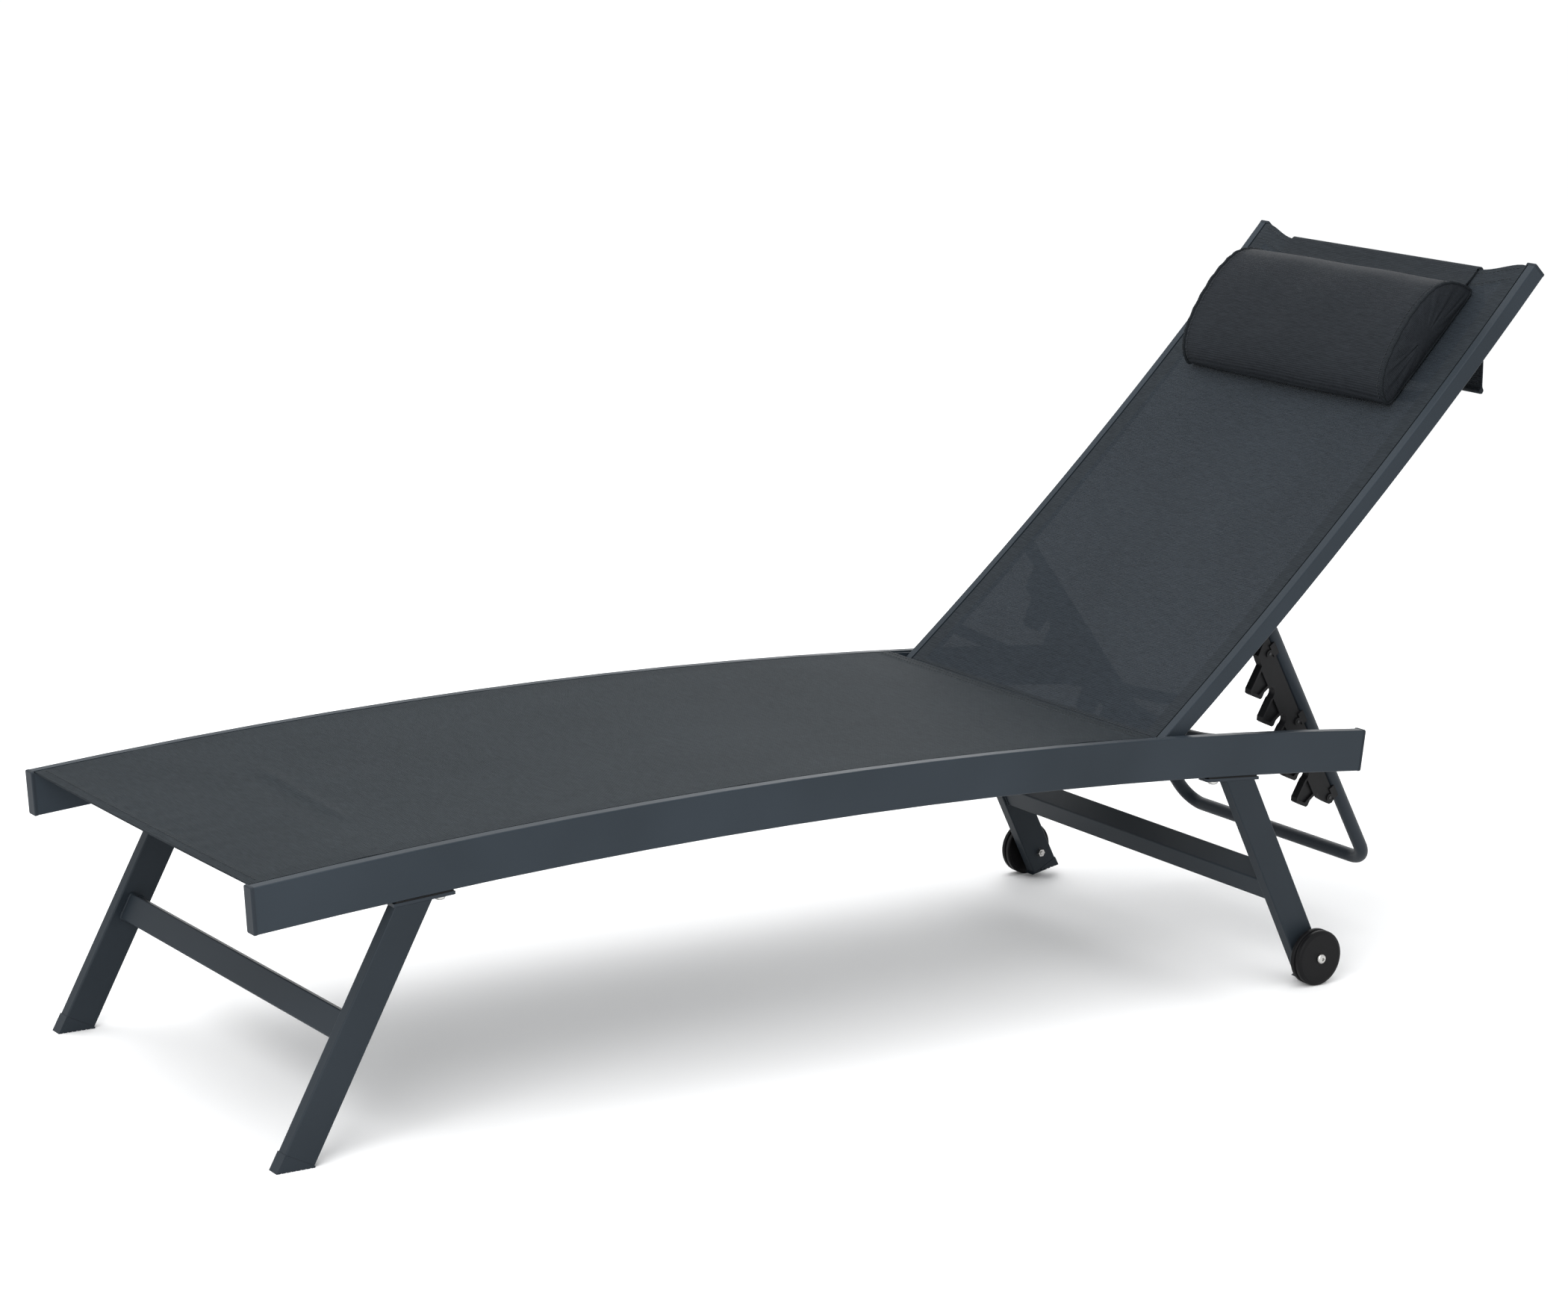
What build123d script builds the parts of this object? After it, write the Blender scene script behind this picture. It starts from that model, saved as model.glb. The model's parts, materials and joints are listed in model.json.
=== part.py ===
from build123d import *
import os
from math import sin, cos, asin, atan2, sqrt, radians, degrees, hypot

os.makedirs("parts", exist_ok=True)

# ---------------------------------------------------------------- dimensions
# Millimetres, +Z up.  +X runs from the foot end to the head end, -Y is the
# left side of somebody lying on the lounger, Z = 0 is the ground.
# "station" = distance along X from the foot end of the side rails.
ORIGIN_STATION = 973.62      # station of the middle of the overall length

HALF_W = 300.0               # outer face of the side rails
RAIL_W = 18.0                # side rail width
RAIL_H = 56.0                # side rail height
WALL = 1.8                   # extrusion wall
SEAT_R = 8830.0              # radius of the side rail's lower edge
SEAT_MID = 827.0             # station of the top of the arch
SEAT_TOP = 322.7             # height of the lower edge at the top of the arch
RAIL_END = 1652.0            # station of the rail's head end
SEAT_SLING_END = 1292.0      # station of the seat sling's rear hem

BACK_R = 6251.5              # radius of the backrest rails' upper face
BACK_CU = -2704.8            # station of that arc's centre
BACK_CZ = 5141.9             # height of that arc's centre
BACK_A0 = 39.90              # angle of the hinge on the arc, degrees
BACK_H = 24.0                # backrest rail depth
BACK_OUT = 279.5             # outer face of the backrest rails
BACK_W = 17.5                # backrest rail width
BACK_LEN = 876.0             # hinge to the top end, along the rail

LEG_D = 42.3                 # leg tube depth
LEG_WALL = 1.6
FRONT_SLOPE = 0.5027         # front leg: station per mm of height
FRONT_FOOT = 28.0            # station of the front edge at the ground
REAR_SLOPE = 0.54
REAR_FOOT = 1578.0
REAR_GAP = 12.0              # rear feet stand this far off the ground

WHEEL_R = 38.2
WHEEL_T = 18.3
WHEEL_STATION = 1582.0
WHEEL_IN = 307.2             # inner face of the wheel
AXLE_R = 5.0

TUBE_R = 9.5                 # support tube
U_LEN = 479.0                # pivot to the bottom tube
U_ANGLE = -54.7              # lean of the support at rest, degrees
U_TOP_Y = 249.5              # tube centre at the pivot
U_LOW_Y = 189.0              # tube centre at the bottom corners
U_BEND = 35.0
PIVOT_S = 258.7              # hinge to support pivot, straight
BAR_R = 8.0                  # hook bar
BAR_DROP = 28.0              # dip of the hook bar's middle
NOTCH_R = 9.2
NOTCH_STEP = 52.0
NOTCH_T = 112.8              # first notch from the pivot, along the leg
NOTCH_O = 43.5               # notch centre in front of the leg's axis
HOOK_T = 11.0                # hook plate thickness

ORG = ORIGIN_STATION


def seat_pt(station, r):
    """Point of the side rail's arc of radius r above a station."""
    return (station - ORG, SEAT_TOP - SEAT_R + sqrt(r * r - (station - SEAT_MID) ** 2))


def seat_polar(ang, r):
    return (SEAT_MID - ORG + r * sin(ang), SEAT_TOP - SEAT_R + r * cos(ang))


def back_pt(s, off):
    """Point at arc length s from the hinge, off in front of the upper face."""
    a = radians(BACK_A0) + s / (BACK_R + BACK_H / 2)
    r = BACK_R - off
    return (BACK_CU - ORG + r * sin(a), BACK_CZ - r * cos(a))


SEAT_AXIS = Axis((SEAT_MID - ORG, 0, SEAT_TOP - SEAT_R), (0, 1, 0))
BACK_AXIS = Axis((BACK_CU - ORG, 0, BACK_CZ), (0, -1, 0))


def seat_plane(station):
    """Cross-section plane of a side rail: x = Y, y = radius of the arc."""
    a = asin((station - SEAT_MID) / SEAT_R)
    return Plane(origin=(SEAT_MID - ORG, 0, SEAT_TOP - SEAT_R), x_dir=(0, 1, 0), z_dir=(cos(a), 0, -sin(a)))


def back_plane(s):
    """Cross-section plane of a backrest rail: x = Y, y = radius of the arc."""
    a = radians(BACK_A0) + s / (BACK_R + BACK_H / 2)
    return Plane(origin=(BACK_CU - ORG, 0, BACK_CZ), x_dir=(0, 1, 0), z_dir=(-cos(a), 0, -sin(a)))


def seat_turn(st0, st1):
    return degrees(asin((st1 - SEAT_MID) / SEAT_R) - asin((st0 - SEAT_MID) / SEAT_R))


def back_turn(s0, s1):
    return degrees((s1 - s0) / (BACK_R + BACK_H / 2))


SEAT_RT = SEAT_R + RAIL_H
RAIL_IN = HALF_W - RAIL_W
BACK_IN = BACK_OUT - BACK_W
SEAT_SLOT = 286.0
BACK_SLOT = 266.0

hinge_x, hinge_z = back_pt(0, -BACK_H / 2)
piv_a = radians(41.08)
pivot_x, pivot_z = hinge_x + PIVOT_S * cos(piv_a), hinge_z + PIVOT_S * sin(piv_a)
ua = radians(U_ANGLE)
dv = (cos(ua), sin(ua))                       # down the support's leg
nv = (sin(ua), -cos(ua))                      # forward, square to the leg
beta = atan2(U_TOP_Y - U_LOW_Y, U_LEN)        # the legs' taper
notch3 = (NOTCH_T + 2 * NOTCH_STEP)
BAR_X = pivot_x + dv[0] * notch3 * cos(beta) + nv[0] * NOTCH_O
BAR_Z = pivot_z + dv[1] * notch3 * cos(beta) + nv[1] * NOTCH_O

# ---------------------------------------------------------------- side rails
with BuildPart() as side_rail_left:
    with BuildSketch(seat_plane(2.0)):
        with Locations((-(HALF_W + RAIL_IN) / 2, SEAT_R + RAIL_H / 2)):
            RectangleRounded(RAIL_W, RAIL_H, 2.2)
        with Locations((-(HALF_W + RAIL_IN) / 2, SEAT_R + WALL + 21.5)):
            RectangleRounded(RAIL_W - 2 * WALL, 43, 1.0, mode=Mode.SUBTRACT)
        with Locations((-294.4, SEAT_RT - WALL - 3.8)):
            Rectangle(7.6, 7.6, mode=Mode.SUBTRACT)
        with Locations((-SEAT_SLOT, SEAT_RT - 5.1)):
            Rectangle(5.0, 5.0, mode=Mode.SUBTRACT)
        with Locations((-SEAT_SLOT, SEAT_RT - 1.0)):
            Rectangle(2.0, 4.0, mode=Mode.SUBTRACT)
        with Locations((-(RAIL_IN + 1.0), SEAT_RT)):
            Rectangle(4.0, 4.0, mode=Mode.SUBTRACT)
    revolve(axis=SEAT_AXIS, revolution_arc=seat_turn(2.0, RAIL_END))
    # holes in the inner wall for the hinge bolt and the hook bar
    with BuildSketch(Plane.XZ.offset(RAIL_IN - 1)):
        with Locations((hinge_x, hinge_z)):
            Circle(4.0)
        with Locations((BAR_X, BAR_Z)):
            Circle(BAR_R)
    extrude(amount=WALL + 1.5, mode=Mode.SUBTRACT)
    # bolt holes in the bottom wall
    for st in (238.0, 1401.0):
        bx, bz = seat_pt(st, SEAT_R)
        with BuildSketch(Plane.XY.offset(bz - 4)):
            with Locations((bx, -291.0)):
                Circle(4.05)
        extrude(amount=10, mode=Mode.SUBTRACT)

with BuildPart() as side_rail_right:
    mirror(side_rail_left.part, about=Plane.XZ)

# keder rods, the welts that hold the sling's hems in the rails
with BuildPart() as seat_keder_rods:
    with BuildSketch(seat_plane(6.0)):
        with Locations((-SEAT_SLOT, SEAT_RT - 5.1), (SEAT_SLOT, SEAT_RT - 5.1)):
            Circle(2.1)
    revolve(axis=SEAT_AXIS, revolution_arc=seat_turn(6.0, SEAT_SLING_END))

with BuildPart() as seat_sling:
    with BuildSketch(seat_plane(3.0)):
        with Locations((0, SEAT_RT - 1.0)):
            Rectangle(2 * 284.7, 1.6)
    revolve(axis=SEAT_AXIS, revolution_arc=seat_turn(3.0, SEAT_SLING_END))

# ---------------------------------------------------------------- rail caps
with BuildPart() as rail_foot_caps:
    with BuildSketch(seat_plane(-2.5)):
        with Locations((-291.0, SEAT_R + RAIL_H / 2)):
            RectangleRounded(18.6, 56.8, 2.6)
    revolve(axis=SEAT_AXIS, revolution_arc=seat_turn(-2.5, 1.9))
    fillet(rail_foot_caps.edges().group_by(Axis.X)[0], 1.6)
    with BuildSketch(seat_plane(1.8)):
        with Locations((-291.0, SEAT_R + WALL + 21.5)):
            RectangleRounded(14.1, 42.6, 1.3)
    revolve(axis=SEAT_AXIS, revolution_arc=seat_turn(1.8, 14.0))
    mirror(about=Plane.XZ)

with BuildPart() as rail_head_caps:
    with BuildSketch(seat_plane(RAIL_END + 0.1)):
        with Locations((-291.0, SEAT_R + RAIL_H / 2)):
            RectangleRounded(18.6, 56.8, 2.6)
    revolve(axis=SEAT_AXIS, revolution_arc=seat_turn(RAIL_END + 0.1, RAIL_END + 4.5))
    fillet(rail_head_caps.edges().group_by(Axis.X)[-1], 1.6)
    with BuildSketch(seat_plane(RAIL_END - 12)):
        with Locations((-291.0, SEAT_R + WALL + 21.5)):
            RectangleRounded(14.1, 42.6, 1.3)
    revolve(axis=SEAT_AXIS, revolution_arc=seat_turn(RAIL_END - 12, RAIL_END + 0.2))
    mirror(about=Plane.XZ)


# ---------------------------------------------------------------- spreaders
def bowed_path(x, z_end, bow, half):
    return ThreePointArc((x, -half, z_end), (x, 0, z_end - bow), (x, half, z_end))


def spreader_z(station):
    return seat_pt(station, SEAT_R + 27.0)[1]


with BuildPart() as seat_spreader_front:
    with BuildLine() as sp1:
        bowed_path(150.0 - ORG, spreader_z(150.0), 30.0, RAIL_IN)
    with BuildSketch(Plane(origin=sp1.line @ 0, z_dir=sp1.line % 0)):
        Circle(10.0)
        Circle(8.4, mode=Mode.SUBTRACT)
    sweep(path=sp1.line)
    split(bisect_by=Plane.XZ.offset(RAIL_IN - 0.05), keep=Keep.BOTTOM)
    split(bisect_by=Plane.XZ.offset(-RAIL_IN + 0.05), keep=Keep.TOP)

with BuildPart() as seat_spreader_middle:
    with BuildLine() as sp2:
        bowed_path(660.0 - ORG, spreader_z(660.0), 30.0, RAIL_IN)
    with BuildSketch(Plane(origin=sp2.line @ 0, z_dir=sp2.line % 0)):
        Circle(10.0)
        Circle(8.4, mode=Mode.SUBTRACT)
    sweep(path=sp2.line)
    split(bisect_by=Plane.XZ.offset(RAIL_IN - 0.05), keep=Keep.BOTTOM)
    split(bisect_by=Plane.XZ.offset(-RAIL_IN + 0.05), keep=Keep.TOP)

with BuildPart() as seat_spreader_rear:
    with BuildLine() as sp3:
        bowed_path(1190.0 - ORG, spreader_z(1190.0), 30.0, RAIL_IN)
    with BuildSketch(Plane(origin=sp3.line @ 0, z_dir=sp3.line % 0)):
        Circle(10.0)
        Circle(8.4, mode=Mode.SUBTRACT)
    sweep(path=sp3.line)
    split(bisect_by=Plane.XZ.offset(RAIL_IN - 0.05), keep=Keep.BOTTOM)
    split(bisect_by=Plane.XZ.offset(-RAIL_IN + 0.05), keep=Keep.TOP)

# the fixed bar that the support hooks onto, level at its ends, dipped between
sw = BAR_DROP / 2
half_run = 110.0
bend_r = (half_run ** 2 + sw ** 2) / (2 * sw)
th = asin(half_run / bend_r)
with BuildPart() as hook_bar:
    with BuildLine() as hb:
        ya, yb_, yc = -283.4, -220.0, -110.0
        Line((BAR_X, ya, BAR_Z), (BAR_X, yb_, BAR_Z))
        ThreePointArc((BAR_X, yb_, BAR_Z),
                      (BAR_X, yb_ + bend_r * sin(th / 2), BAR_Z - bend_r * (1 - cos(th / 2))),
                      (BAR_X, yc, BAR_Z - sw))
        ThreePointArc((BAR_X, yc, BAR_Z - sw), (BAR_X, 0, BAR_Z - BAR_DROP), (BAR_X, -yc, BAR_Z - sw))
        ThreePointArc((BAR_X, -yc, BAR_Z - sw),
                      (BAR_X, -yb_ - bend_r * sin(th / 2), BAR_Z - bend_r * (1 - cos(th / 2))),
                      (BAR_X, -yb_, BAR_Z))
        Line((BAR_X, -yb_, BAR_Z), (BAR_X, -ya, BAR_Z))
    with BuildSketch(Plane(origin=(BAR_X, ya, BAR_Z), z_dir=(0, 1, 0))):
        Circle(BAR_R - 0.02)
        Circle(BAR_R - 1.6, mode=Mode.SUBTRACT)
    sweep(path=hb.line)


# ---------------------------------------------------------------- front legs
def top_line(station, drop, ref):
    """Height of a line parallel to the rail's lower edge at ref, drop below it."""
    z0 = seat_pt(ref, SEAT_R)[1]
    slope = -(ref - SEAT_MID) / (z0 - (SEAT_TOP - SEAT_R))
    return z0 - drop + slope * (station - ref)


def leg_pt(edge, slope, z):
    return edge + slope * z


def solve_top(edge, slope, ref, drop):
    """Point of a leg's edge line where it meets the plate above it."""
    z0 = top_line(ref, drop, ref)
    k = top_line(ref + 1, drop, ref) - z0
    z = (z0 + k * (edge - ref)) / (1 - k * slope)
    return (edge + slope * z - ORG, z)


PLATE_T = 4.0
PAD_T = 2.0
FRONT_REF = 214.0            # stations where the mount plates are parallel to the rail
REAR_REF = 1429.0
LEG_DROP = PLATE_T + PAD_T

fa = atan2(FRONT_SLOPE, 1)
front_w = LEG_D / cos(fa)
FX = FRONT_FOOT


def cut_point(edge, slope, zc, xc):
    """Where a leg edge crosses the square cut through (xc, zc)."""
    z = (zc - slope * (edge - xc)) / (1 + slope * slope)
    return (edge + slope * z - ORG, z)


f_cut_a = cut_point(FX, FRONT_SLOPE, 18.6, 43.8)
f_cut_b = cut_point(FX + front_w, FRONT_SLOPE, 18.6, 43.8)
f_top_a = solve_top(FX, FRONT_SLOPE, FRONT_REF, LEG_DROP)
f_top_b = solve_top(FX + front_w, FRONT_SLOPE, FRONT_REF, LEG_DROP)
wx = LEG_WALL / cos(fa)

with BuildPart() as front_leg_left:
    with BuildSketch(Plane.XZ.offset(RAIL_IN)):
        with BuildLine():
            Polyline(f_cut_a, f_cut_b, f_top_b, f_top_a, close=True)
        make_face()
    extrude(amount=RAIL_W)
    fillet(front_leg_left.edges().filter_by(Axis((0, 0, 0), (FRONT_SLOPE, 0, 1))), 2.0)
    with BuildSketch(Plane.XZ.offset(RAIL_IN + LEG_WALL)):
        with BuildLine():
            ia = cut_point(FX + wx, FRONT_SLOPE, 8.6, 43.8)
            ib = cut_point(FX + front_w - wx, FRONT_SLOPE, 8.6, 43.8)
            ic = solve_top(FX + front_w - wx, FRONT_SLOPE, FRONT_REF, LEG_DROP - 3)
            id_ = solve_top(FX + wx, FRONT_SLOPE, FRONT_REF, LEG_DROP - 3)
            Polyline(ia, ib, ic, id_, close=True)
        make_face()
    extrude(amount=RAIL_W - 2 * LEG_WALL, mode=Mode.SUBTRACT)

with BuildPart() as front_leg_right:
    mirror(front_leg_left.part, about=Plane.XZ)

# cross bar, its long side along the legs
fz = 150.0
fcx = FX + front_w / 2 + FRONT_SLOPE * fz - ORG
with BuildPart() as front_cross_bar:
    with BuildSketch(Plane(origin=(fcx, -RAIL_IN, fz), x_dir=(cos(fa), 0, -sin(fa)), z_dir=(0, 1, 0))):
        RectangleRounded(20.0, 34.0, 2.0)
        RectangleRounded(16.8, 30.8, 1.0, mode=Mode.SUBTRACT)
    extrude(amount=2 * RAIL_IN)


def plate_poly(st0, st1, ref, drop_top, drop_bottom):
    return [(st0 - ORG, top_line(st0, drop_bottom, ref)), (st1 - ORG, top_line(st1, drop_bottom, ref)),
            (st1 - ORG, top_line(st1, drop_top, ref)), (st0 - ORG, top_line(st0, drop_top, ref))]


with BuildPart() as front_mount_plates:
    with BuildSketch(Plane.XZ.offset(RAIL_IN + 0.4)):
        with BuildLine():
            Polyline(*plate_poly(174.0, 254.0, FRONT_REF, PAD_T, LEG_DROP), close=True)
        make_face()
    extrude(amount=RAIL_W - 0.8)
    with BuildSketch(Plane.XY.offset(280)):
        with Locations((238.0 - ORG, -291.0)):
            Circle(4.2)
    extrude(amount=40, mode=Mode.SUBTRACT)
    mirror(about=Plane.XZ)

with BuildPart() as front_mount_pads:
    with BuildSketch(Plane.XZ.offset(RAIL_IN + 1.2)):
        with BuildLine():
            Polyline(*plate_poly(177.0, 252.0, FRONT_REF, 0.2, PAD_T - 0.02), close=True)
        make_face()
    extrude(amount=RAIL_W - 2.4)
    with BuildSketch(Plane.XY.offset(280)):
        with Locations((238.0 - ORG, -291.0)):
            Circle(4.2)
    extrude(amount=40, mode=Mode.SUBTRACT)
    mirror(about=Plane.XZ)

with BuildPart() as front_foot_caps:
    with BuildSketch(Plane.XZ.offset(RAIL_IN - 0.4)):
        with BuildLine():
            sa, sb = cut_point(FX, FRONT_SLOPE, 18.5, 43.8), cut_point(FX + front_w, FRONT_SLOPE, 18.5, 43.8)
            Polyline((FX - 0.8 - ORG, 0), (FX + front_w + 0.8 - ORG, 0), (sb[0] + 0.5 * cos(fa), sb[1] - 0.5 * sin(fa)), (sa[0] - 0.5 * cos(fa), sa[1] + 0.5 * sin(fa)), close=True)
        make_face()
    extrude(amount=RAIL_W + 0.8)
    # tread grooves across the sole
    with BuildSketch(Plane.XZ.offset(RAIL_IN - 2)):
        with Locations(*[(FX + 5.5 + 6.2 * i - ORG, 0) for i in range(7)]):
            Circle(1.2)
    extrude(amount=RAIL_W + 4, mode=Mode.SUBTRACT)
    with BuildSketch(Plane.XZ.offset(RAIL_IN + LEG_WALL + 0.15)):
        with BuildLine():
            pa = cut_point(FX + wx + 0.2, FRONT_SLOPE, 17.6, 43.8)
            pb = cut_point(FX + front_w - wx - 0.2, FRONT_SLOPE, 17.6, 43.8)
            pc = cut_point(FX + front_w - wx - 0.2, FRONT_SLOPE, 34.0, 43.8)
            pd = cut_point(FX + wx + 0.2, FRONT_SLOPE, 34.0, 43.8)
            Polyline(pa, pb, pc, pd, close=True)
        make_face()
    extrude(amount=RAIL_W - 2 * LEG_WALL - 0.3)
    mirror(about=Plane.XZ)

# ---------------------------------------------------------------- rear legs
ra = atan2(REAR_SLOPE, 1)
rear_w = LEG_D / cos(ra)
RX = REAR_FOOT
rs = -REAR_SLOPE
rwx = LEG_WALL / cos(ra)
RCX, RCZ = 1606.0, REAR_GAP + 12.0

r_cut_a = cut_point(RX, rs, RCZ, RCX)
r_cut_b = cut_point(RX + rear_w, rs, RCZ, RCX)
r_top_a = solve_top(RX, rs, REAR_REF, LEG_DROP)
r_top_b = solve_top(RX + rear_w, rs, REAR_REF, LEG_DROP)

with BuildPart() as rear_leg_left:
    with BuildSketch(Plane.XZ.offset(RAIL_IN)):
        with BuildLine():
            Polyline(r_cut_a, r_cut_b, r_top_b, r_top_a, close=True)
        make_face()
    extrude(amount=RAIL_W)
    fillet(rear_leg_left.edges().filter_by(Axis((0, 0, 0), (-REAR_SLOPE, 0, 1))), 2.0)
    with BuildSketch(Plane.XZ.offset(RAIL_IN + LEG_WALL)):
        with BuildLine():
            Polyline(cut_point(RX + rwx, rs, RCZ - 10, RCX), cut_point(RX + rear_w - rwx, rs, RCZ - 10, RCX),
                     solve_top(RX + rear_w - rwx, rs, REAR_REF, LEG_DROP - 3),
                     solve_top(RX + rwx, rs, REAR_REF, LEG_DROP - 3), close=True)
        make_face()
    extrude(amount=RAIL_W - 2 * LEG_WALL, mode=Mode.SUBTRACT)
    with BuildSketch(Plane.XZ.offset(RAIL_IN - 1)):
        with Locations((WHEEL_STATION - ORG, WHEEL_R)):
            Circle(AXLE_R + 0.02)
    extrude(amount=RAIL_W + 2, mode=Mode.SUBTRACT)

with BuildPart() as rear_leg_right:
    mirror(rear_leg_left.part, about=Plane.XZ)

rz = 140.0
rcx = RX + rear_w / 2 - REAR_SLOPE * rz - ORG
with BuildPart() as rear_cross_bar:
    with BuildSketch(Plane(origin=(rcx, -RAIL_IN, rz), x_dir=(cos(ra), 0, sin(ra)), z_dir=(0, 1, 0))):
        RectangleRounded(34.0, 34.0, 2.0)
        RectangleRounded(30.8, 30.8, 1.0, mode=Mode.SUBTRACT)
    extrude(amount=2 * RAIL_IN)

with BuildPart() as rear_mount_plates:
    with BuildSketch(Plane.XZ.offset(RAIL_IN + 0.4)):
        with BuildLine():
            Polyline(*plate_poly(1384.0, 1474.0, REAR_REF, PAD_T, LEG_DROP), close=True)
        make_face()
    extrude(amount=RAIL_W - 0.8)
    with BuildSketch(Plane.XY.offset(280)):
        with Locations((1401.0 - ORG, -291.0)):
            Circle(4.2)
    extrude(amount=40, mode=Mode.SUBTRACT)
    mirror(about=Plane.XZ)

with BuildPart() as rear_mount_pads:
    with BuildSketch(Plane.XZ.offset(RAIL_IN + 1.2)):
        with BuildLine():
            Polyline(*plate_poly(1388.0, 1471.0, REAR_REF, 0.2, PAD_T - 0.02), close=True)
        make_face()
    extrude(amount=RAIL_W - 2.4)
    with BuildSketch(Plane.XY.offset(280)):
        with Locations((1401.0 - ORG, -291.0)):
            Circle(4.2)
    extrude(amount=40, mode=Mode.SUBTRACT)
    mirror(about=Plane.XZ)

with BuildPart() as rear_foot_caps:
    with BuildSketch(Plane.XZ.offset(RAIL_IN - 0.4)):
        with BuildLine():
            ta, tb = cut_point(RX, rs, RCZ - 0.1, RCX), cut_point(RX + rear_w, rs, RCZ - 0.1, RCX)
            Polyline((RX - REAR_SLOPE * REAR_GAP - 0.6 - ORG, min(ta[1] - 1.5, REAR_GAP)),
                     (RX + rear_w - REAR_SLOPE * (REAR_GAP + 3) + 0.8 - ORG, REAR_GAP + 3),
                     (tb[0] + 0.5 * cos(ra), tb[1] + 0.5 * sin(ra)), (ta[0] - 0.5 * cos(ra), ta[1] - 0.5 * sin(ra)), close=True)
        make_face()
    extrude(amount=RAIL_W + 0.8)
    with BuildSketch(Plane.XZ.offset(RAIL_IN - 2)):
        with Locations(*[(RX + 2.0 + 6.2 * i - ORG, REAR_GAP - 1.2 + 0.37 * i) for i in range(7)]):
            Circle(1.2)
    extrude(amount=RAIL_W + 4, mode=Mode.SUBTRACT)
    with BuildSketch(Plane.XZ.offset(RAIL_IN + LEG_WALL + 0.15)):
        with BuildLine():
            Polyline(cut_point(RX + rwx + 0.2, rs, RCZ - 1, RCX), cut_point(RX + rear_w - rwx - 0.2, rs, RCZ - 1, RCX),
                     cut_point(RX + rear_w - rwx - 0.2, rs, RCZ + 9.0, RCX), cut_point(RX + rwx + 0.2, rs, RCZ + 9.0, RCX),
                     close=True)
        make_face()
    extrude(amount=RAIL_W - 2 * LEG_WALL - 0.3)
    with BuildSketch(Plane.XZ.offset(RAIL_IN - 2)):
        with Locations((WHEEL_STATION - ORG, WHEEL_R)):
            Circle(AXLE_R + 0.3)
    extrude(amount=RAIL_W + 4, mode=Mode.SUBTRACT)
    mirror(about=Plane.XZ)

# button-head bolts that hold the leg frames up to the rails
with BuildPart() as leg_bolts:
    for st, ref in ((238.0, FRONT_REF), (1401.0, REAR_REF)):
        zb = top_line(st, LEG_DROP, ref)
        with BuildSketch(Plane.XZ.offset(291.0)):
            with BuildLine():
                bx = st - ORG
                Polyline((bx, zb - 4.9), (bx + 3.6, zb - 4.9))
                ThreePointArc((bx + 3.6, zb - 4.9), (bx + 6.0, zb - 3.6), (bx + 7.0, zb - 1.2))
                Polyline((bx + 7.0, zb - 1.2), (bx + 7.0, zb - 0.6), (bx + 4.0, zb - 0.6), (bx + 4.0, zb + 20.0),
                         (bx, zb + 20.0), (bx, zb - 4.9))
            make_face()
        revolve(axis=Axis((st - ORG, -291.0, 0), (0, 0, 1)), revolution_arc=360)
        with BuildSketch(Plane.XY.offset(zb - 6)):
            with Locations((st - ORG, -291.0)):
                RegularPolygon(2.6, 6)
        extrude(amount=3.2, mode=Mode.SUBTRACT)
    mirror(about=Plane.XZ)

# ---------------------------------------------------------------- wheels
with BuildPart() as wheel_left:
    with BuildSketch(Plane(origin=(WHEEL_STATION - ORG, -WHEEL_IN, WHEEL_R), x_dir=(1, 0, 0), z_dir=(0, 0, 1))):
        with BuildLine():
            rim, t = WHEEL_R, WHEEL_T
            Polyline((AXLE_R + 0.06, 0.0), (12.0, 0.0), (12.0, -1.2), (33.0, -1.2), (34.0, 0.0), (rim - 1.8, 0.0))
            ThreePointArc((rim - 1.8, 0.0), (rim - 0.5, -0.5), (rim, -1.8))
            Line((rim, -1.8), (rim, -5.0))
            ThreePointArc((rim, -5.0), (rim - 0.5, -6.2), (rim - 1.6, -6.8))
            ThreePointArc((rim - 1.6, -6.8), (rim - 3.2, -8.2), (rim - 1.6, -9.6))
            ThreePointArc((rim - 1.6, -9.6), (rim - 0.7, -10.2), (rim - 0.3, -11.2))
            Line((rim - 0.3, -11.2), (rim - 0.3, -13.6))
            ThreePointArc((rim - 0.3, -13.6), (rim - 1.3, -16.6), (rim - 3.8, -t + 0.5))
            Polyline((rim - 3.8, -t + 0.5), (rim - 5.0, -t), (AXLE_R + 0.06, -t), (AXLE_R + 0.06, 0.0))
        make_face()
    revolve(axis=Axis((WHEEL_STATION - ORG, 0, WHEEL_R), (0, 1, 0)), revolution_arc=360)

with BuildPart() as wheel_right:
    mirror(wheel_left.part, about=Plane.XZ)

with BuildPart() as wheel_axle_bolts:
    with BuildSketch(Plane(origin=(WHEEL_STATION - ORG, 0, WHEEL_R), x_dir=(1, 0, 0), z_dir=(0, 0, 1))):
        with BuildLine():
            h = -(WHEEL_IN + WHEEL_T + 0.4)
            Polyline((0, -274.4), (2.2, -274.4), (3.0, -275.2), (3.0, -281.8), (AXLE_R, -281.8), (AXLE_R, h), (6.8, h), (6.8, h - 0.9))
            ThreePointArc((6.8, h - 0.9), (5.8, h - 3.2), (3.4, h - 4.4))
            Polyline((3.4, h - 4.4), (0, h - 4.4), (0, -274.4))
        make_face()
    revolve(axis=Axis((WHEEL_STATION - ORG, 0, WHEEL_R), (0, 1, 0)), revolution_arc=360)
    with BuildSketch(Plane.XZ.offset(-h + 1.6)):
        with Locations((WHEEL_STATION - ORG, WHEEL_R)):
            RegularPolygon(2.6, 6)
    extrude(amount=5, mode=Mode.SUBTRACT)
    mirror(about=Plane.XZ)

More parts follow.
